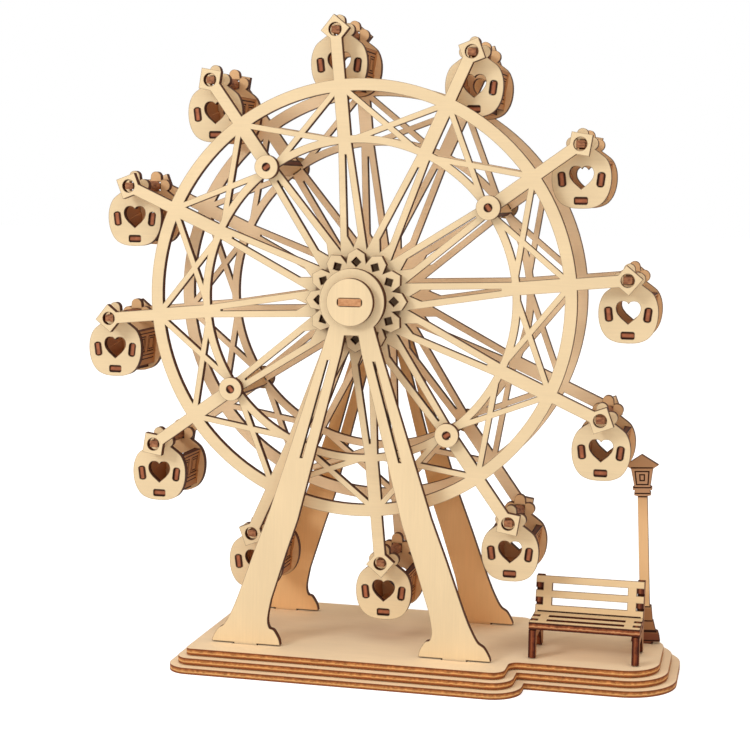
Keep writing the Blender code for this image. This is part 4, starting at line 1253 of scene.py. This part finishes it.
class FERRIS_OT_gondolas(PieceOperator, bpy.types.Operator):
    """Build the twelve gondolas: front plate, cabin and cross bar"""
    bl_idname = "ferris.gondolas"
    bl_label = "Gondolas"

    def plate(self, y, slots, stains):
        """A plate with its heart and the cross bar's slot, facing the front."""
        pin_slot = rectangle(PIN_WIDTH + 2 * GAP, PIN_THICKNESS + 2 * GAP)
        mesh = sheet_mesh("gondola_plate", [gondola_edge(), heart(), pin_slot] + slots, PLY, stains)
        return placed(mesh, Matrix.Translation((0, y, 0)) @ FACES_FRONT)

    def front_plate(self):
        length, width = WALL_TAB + 2 * GAP, THIN_PLY + 2 * GAP
        slot = rounded_rectangle(length, width, SIDE_SLOT_CORNER)
        slots = [turned(slot, math.pi / 2 + side * WALL_LEAN, (side * WALL_X, -WALL_Z)) for side in (1, -1)]
        slots.append(rounded_rectangle(length - GAP, width - GAP / 4, BOTTOM_SLOT_CORNER, (0, -FLOOR_Z)))
        return self.plate(PLY / 2 - GONDOLA_HALF_DEPTH, slots, (0, 1))

    def cabin(self):
        """The rear plate, two side walls engraved with windows, and the floor."""
        parts = [self.plate(GONDOLA_HALF_DEPTH - PLY / 2, [], (REAR_PLATE_STAIN, 0))]
        floor = sheet_mesh("gondola_floor", [tabbed_panel(FLOOR_WIDTH)], THIN_PLY, (1, 1))
        floor = wiped_ends(floor, 0, PLATE_INSIDE, TAB_SWELL)
        parts.append(placed(floor, Matrix.Translation((0, 0, -FLOOR_Z)) @ QUARTER_TURN))
        for side in (-1, 1):
            wall = sheet_mesh("gondola_wall", [tabbed_panel(WALL_HEIGHT)], THIN_PLY, (1, 1))
            wall = wiped_ends(engraved_mesh(wall, wall_lines(), THIN_PLY / 2), 0, PLATE_INSIDE, TAB_SWELL)
            outward = Matrix.Rotation(0 if side > 0 else math.pi, 4, 'Z')
            lean = Matrix.Rotation(side * WALL_LEAN, 4, 'Y')
            spot = Matrix.Translation((side * WALL_X, 0, -WALL_Z))
            parts.append(placed(wall, spot @ lean @ outward @ FACES_SIDE))
        return joined("gondola_cabin", parts)

    def pin(self):
        """The cross bar: a turned barrel between the plates, and flat ends in the wheel's holes."""
        barrel = sheet_mesh("pin_barrel", [circle(PIN_BARREL, PIN_STEPS)], CABIN_LENGTH, (1, 1))
        flat = rounded_rectangle(PIN_WIDTH, PIN_THICKNESS, PIN_CORNER)
        ends = sheet_mesh("pin_ends", [flat], 2 * (WHEEL_HALF_WIDTH - TAB_INSET), (1, 1))
        return placed(joined("gondola_pin", [barrel, ends]), FACES_FRONT)

    def execute(self, context):
        tree = bpy.data.node_groups.get(HANGING_TREE) or hanging_tree()
        for part, master, finish, slot in (
                ("front_plate", self.front_plate(), "birch_plywood", "plywood_face"),
                ("cabin", self.cabin(), "birch_plywood_cabin", "plywood_face"),
                ("pin", self.pin(), "burnt_plywood_tab", "plywood_edge")):
            material = wood(finish)
            for place in range(SPOKES):
                body = f"gondola_{place + 1:02d}"
                mesh = grown(tree, master.copy(), {"Place": place, "Material": material})
                add_piece(f"{body}_{part}", mesh, material, body=body)
        return {'FINISHED'}


class FERRIS_OT_bench(PieceOperator, bpy.types.Operator):
    """Build the park bench"""
    bl_idname = "ferris.bench"
    bl_label = "Bench"

    def execute(self, context):
        slats = wood("birch_plywood_bench")
        seat = Matrix.Translation((BENCH_X, BENCH_FRONT, BASE_TOP + SEAT_HEIGHT - PLY / 2))
        add_piece("bench_seat", sheet_mesh("bench_seat", seat_outlines()), slats, seat)
        # The back's scorched foot, with painted shadow in the joint above the seat
        scorch_and_shadow = rectangle(BACK_SCORCH_AND_SHADOW_LENGTH, BACK_SCORCH_AND_SHADOW, (0, BACK_SCORCH_AND_SHADOW / 2 + ENGRAVING / 2))
        back = engraved_mesh(sheet_mesh("bench_back", back_outlines()), [(scorch_and_shadow, None)], PLY / 2)
        y, z = back_point(PLY / 2, 0)
        spot = Matrix.Translation((BENCH_X, BENCH_FRONT + y + BACK_SHIFT, BASE_TOP + z - BACK_DROP))
        add_piece("bench_back", back, slats, spot @ Matrix.Rotation(-BACK_LEAN, 4, 'X') @ FACES_FRONT)
        for name, side in (("bench_side_left", -1), ("bench_side_right", 1)):
            x = BENCH_X + side * (BENCH_WIDTH / 2 - PLY / 2)
            add_piece(name, sheet_mesh(name, [bench_side_outline()]), wood("birch_plywood_bench_side"),
                      Matrix.Translation((x, BENCH_FRONT, BASE_TOP)) @ FACES_SIDE)
        return {'FINISHED'}


class FERRIS_OT_lamp(PieceOperator, bpy.types.Operator):
    """Build the street lamp with its engraving"""
    bl_idname = "ferris.lamp"
    bl_label = "Lamp"

    def execute(self, context):
        mesh = engraved_mesh(sheet_mesh("lamp_post", [lamp_outline()]), lamp_lines(), PLY / 2)
        spot = Matrix.Translation((LAMP_X, LAMP_Y, BASE_TOP + GAP / 2))
        add_piece("lamp_post", mesh, wood("birch_plywood_lamp"),
                  spot @ Matrix.Rotation(LAMP_LEAN, 4, 'Y') @ FACES_FRONT)
        return {'FINISHED'}


class FERRIS_OT_stage(PieceOperator, bpy.types.Operator):
    """Build the floor, the lights and the camera"""
    bl_idname = "ferris.stage"
    bl_label = "Stage"

    def execute(self, context):
        scene = context.scene
        scene.view_settings.view_transform = 'Standard'
        shape = bmesh.new()
        bmesh.ops.create_grid(shape, x_segments=1, y_segments=1, size=FLOOR_HALF_WIDTH)
        floor = linked("floor", made_mesh("floor", shape))
        floor.data.materials.append(self.floor_material())
        self.world(scene)
        for name, spot, size, power in STUDIO_LIGHTS:
            data = bpy.data.lights.new(name, 'AREA')
            data.energy, data.size, data.color = power, size, LIGHT_COLOUR
            light = linked(name, data)
            light.location = spot
            light.rotation_euler = (LIT_POINT - Vector(spot)).to_track_quat('-Z', 'Y').to_euler()
        self.camera(scene)
        return {'FINISHED'}

    @staticmethod
    def floor_material():
        """White paper, matt and smooth, that the camera sees at full white outside the shadow."""
        material, tree, _ = new_material("white_paper_floor")
        paper = add_node(tree, "ShaderNodeBsdfPrincipled", {
            "Base Color": linear(FLOOR_PAPER), "Roughness": 0.9})
        rays = add_node(tree, "ShaderNodeLightPath")
        lift = add_node(tree, "ShaderNodeMath", {
            0: rays.outputs["Is Camera Ray"], 1: FLOOR_GLOW}, operation='MULTIPLY')
        glow = add_node(tree, "ShaderNodeEmission", {"Color": linear(WHITE), "Strength": lift})
        total = add_node(tree, "ShaderNodeAddShader", {0: paper, 1: glow})
        add_node(tree, "ShaderNodeOutputMaterial", {"Surface": total})
        return material

    @staticmethod
    def world(scene):
        """Even studio light, and plain white where the camera looks past the floor."""
        scene.world = bpy.data.worlds.new("studio")
        scene.world.use_nodes = True
        tree = scene.world.node_tree
        tree.nodes.clear()
        seen = add_node(tree, "ShaderNodeLightPath").outputs["Is Camera Ray"]
        strength = add_node(tree, "ShaderNodeMath", {
            0: seen, 1: 1 - WORLD_LIGHT, 2: WORLD_LIGHT}, operation='MULTIPLY_ADD')
        tint = add_node(tree, "ShaderNodeMix", {
            0: seen, 6: linear(WORLD_TINT), 7: linear(WHITE)}, data_type='RGBA')
        background = add_node(tree, "ShaderNodeBackground", {
            "Color": tint.outputs[2], "Strength": strength})
        add_node(tree, "ShaderNodeOutputWorld", {"Surface": background})

    @staticmethod
    def camera(scene):
        """The camera that took the photo, turned about the object, dipped and rolled."""
        data = bpy.data.cameras.new("camera")
        data.sensor_width, data.lens = CAMERA_SENSOR, CAMERA_LENS
        data.clip_start, data.clip_end = 0.01, 20
        camera = linked("camera", data)
        azimuth = Matrix.Rotation(CAMERA_AZIMUTH, 4, 'Z')
        dip = Matrix.Rotation(math.pi / 2 - CAMERA_ELEVATION, 4, 'X')
        roll = Matrix.Rotation(CAMERA_ROLL, 4, 'Z')
        back = Matrix.Translation((0, 0, CAMERA_DISTANCE))
        camera.matrix_world = Matrix.Translation(CAMERA_TARGET) @ azimuth @ dip @ roll @ back
        scene.camera = camera


PIECES = (
    FERRIS_OT_base, FERRIS_OT_frames, FERRIS_OT_hub, FERRIS_OT_wheel, FERRIS_OT_rods,
    FERRIS_OT_gondolas, FERRIS_OT_bench, FERRIS_OT_lamp, FERRIS_OT_stage)


class FERRIS_PT_panel(bpy.types.Panel):
    """The building steps and the look of the wood"""
    bl_label = "Ferris wheel"
    bl_idname = "FERRIS_PT_panel"
    bl_space_type = 'VIEW_3D'
    bl_region_type = 'UI'
    bl_category = "Ferris wheel"

    def draw(self, context):
        look = context.scene.ferris_wheel_look
        for name in FerrisWheelLook.__annotations__:
            self.layout.prop(look, name)
        for piece in PIECES:
            self.layout.operator(piece.bl_idname)


CLASSES = (FerrisWheelLook,) + PIECES + (FERRIS_PT_panel,)


def register():
    for cls in CLASSES:
        bpy.utils.register_class(cls)
    bpy.types.Scene.ferris_wheel_look = bpy.props.PointerProperty(type=FerrisWheelLook)


def unregister():
    del bpy.types.Scene.ferris_wheel_look
    for cls in reversed(CLASSES):
        bpy.utils.unregister_class(cls)


def main():
    register()
    for piece in PIECES:
        group, name = piece.bl_idname.split(".")
        getattr(getattr(bpy.ops, group), name)()


if __name__ == "__main__":
    main()
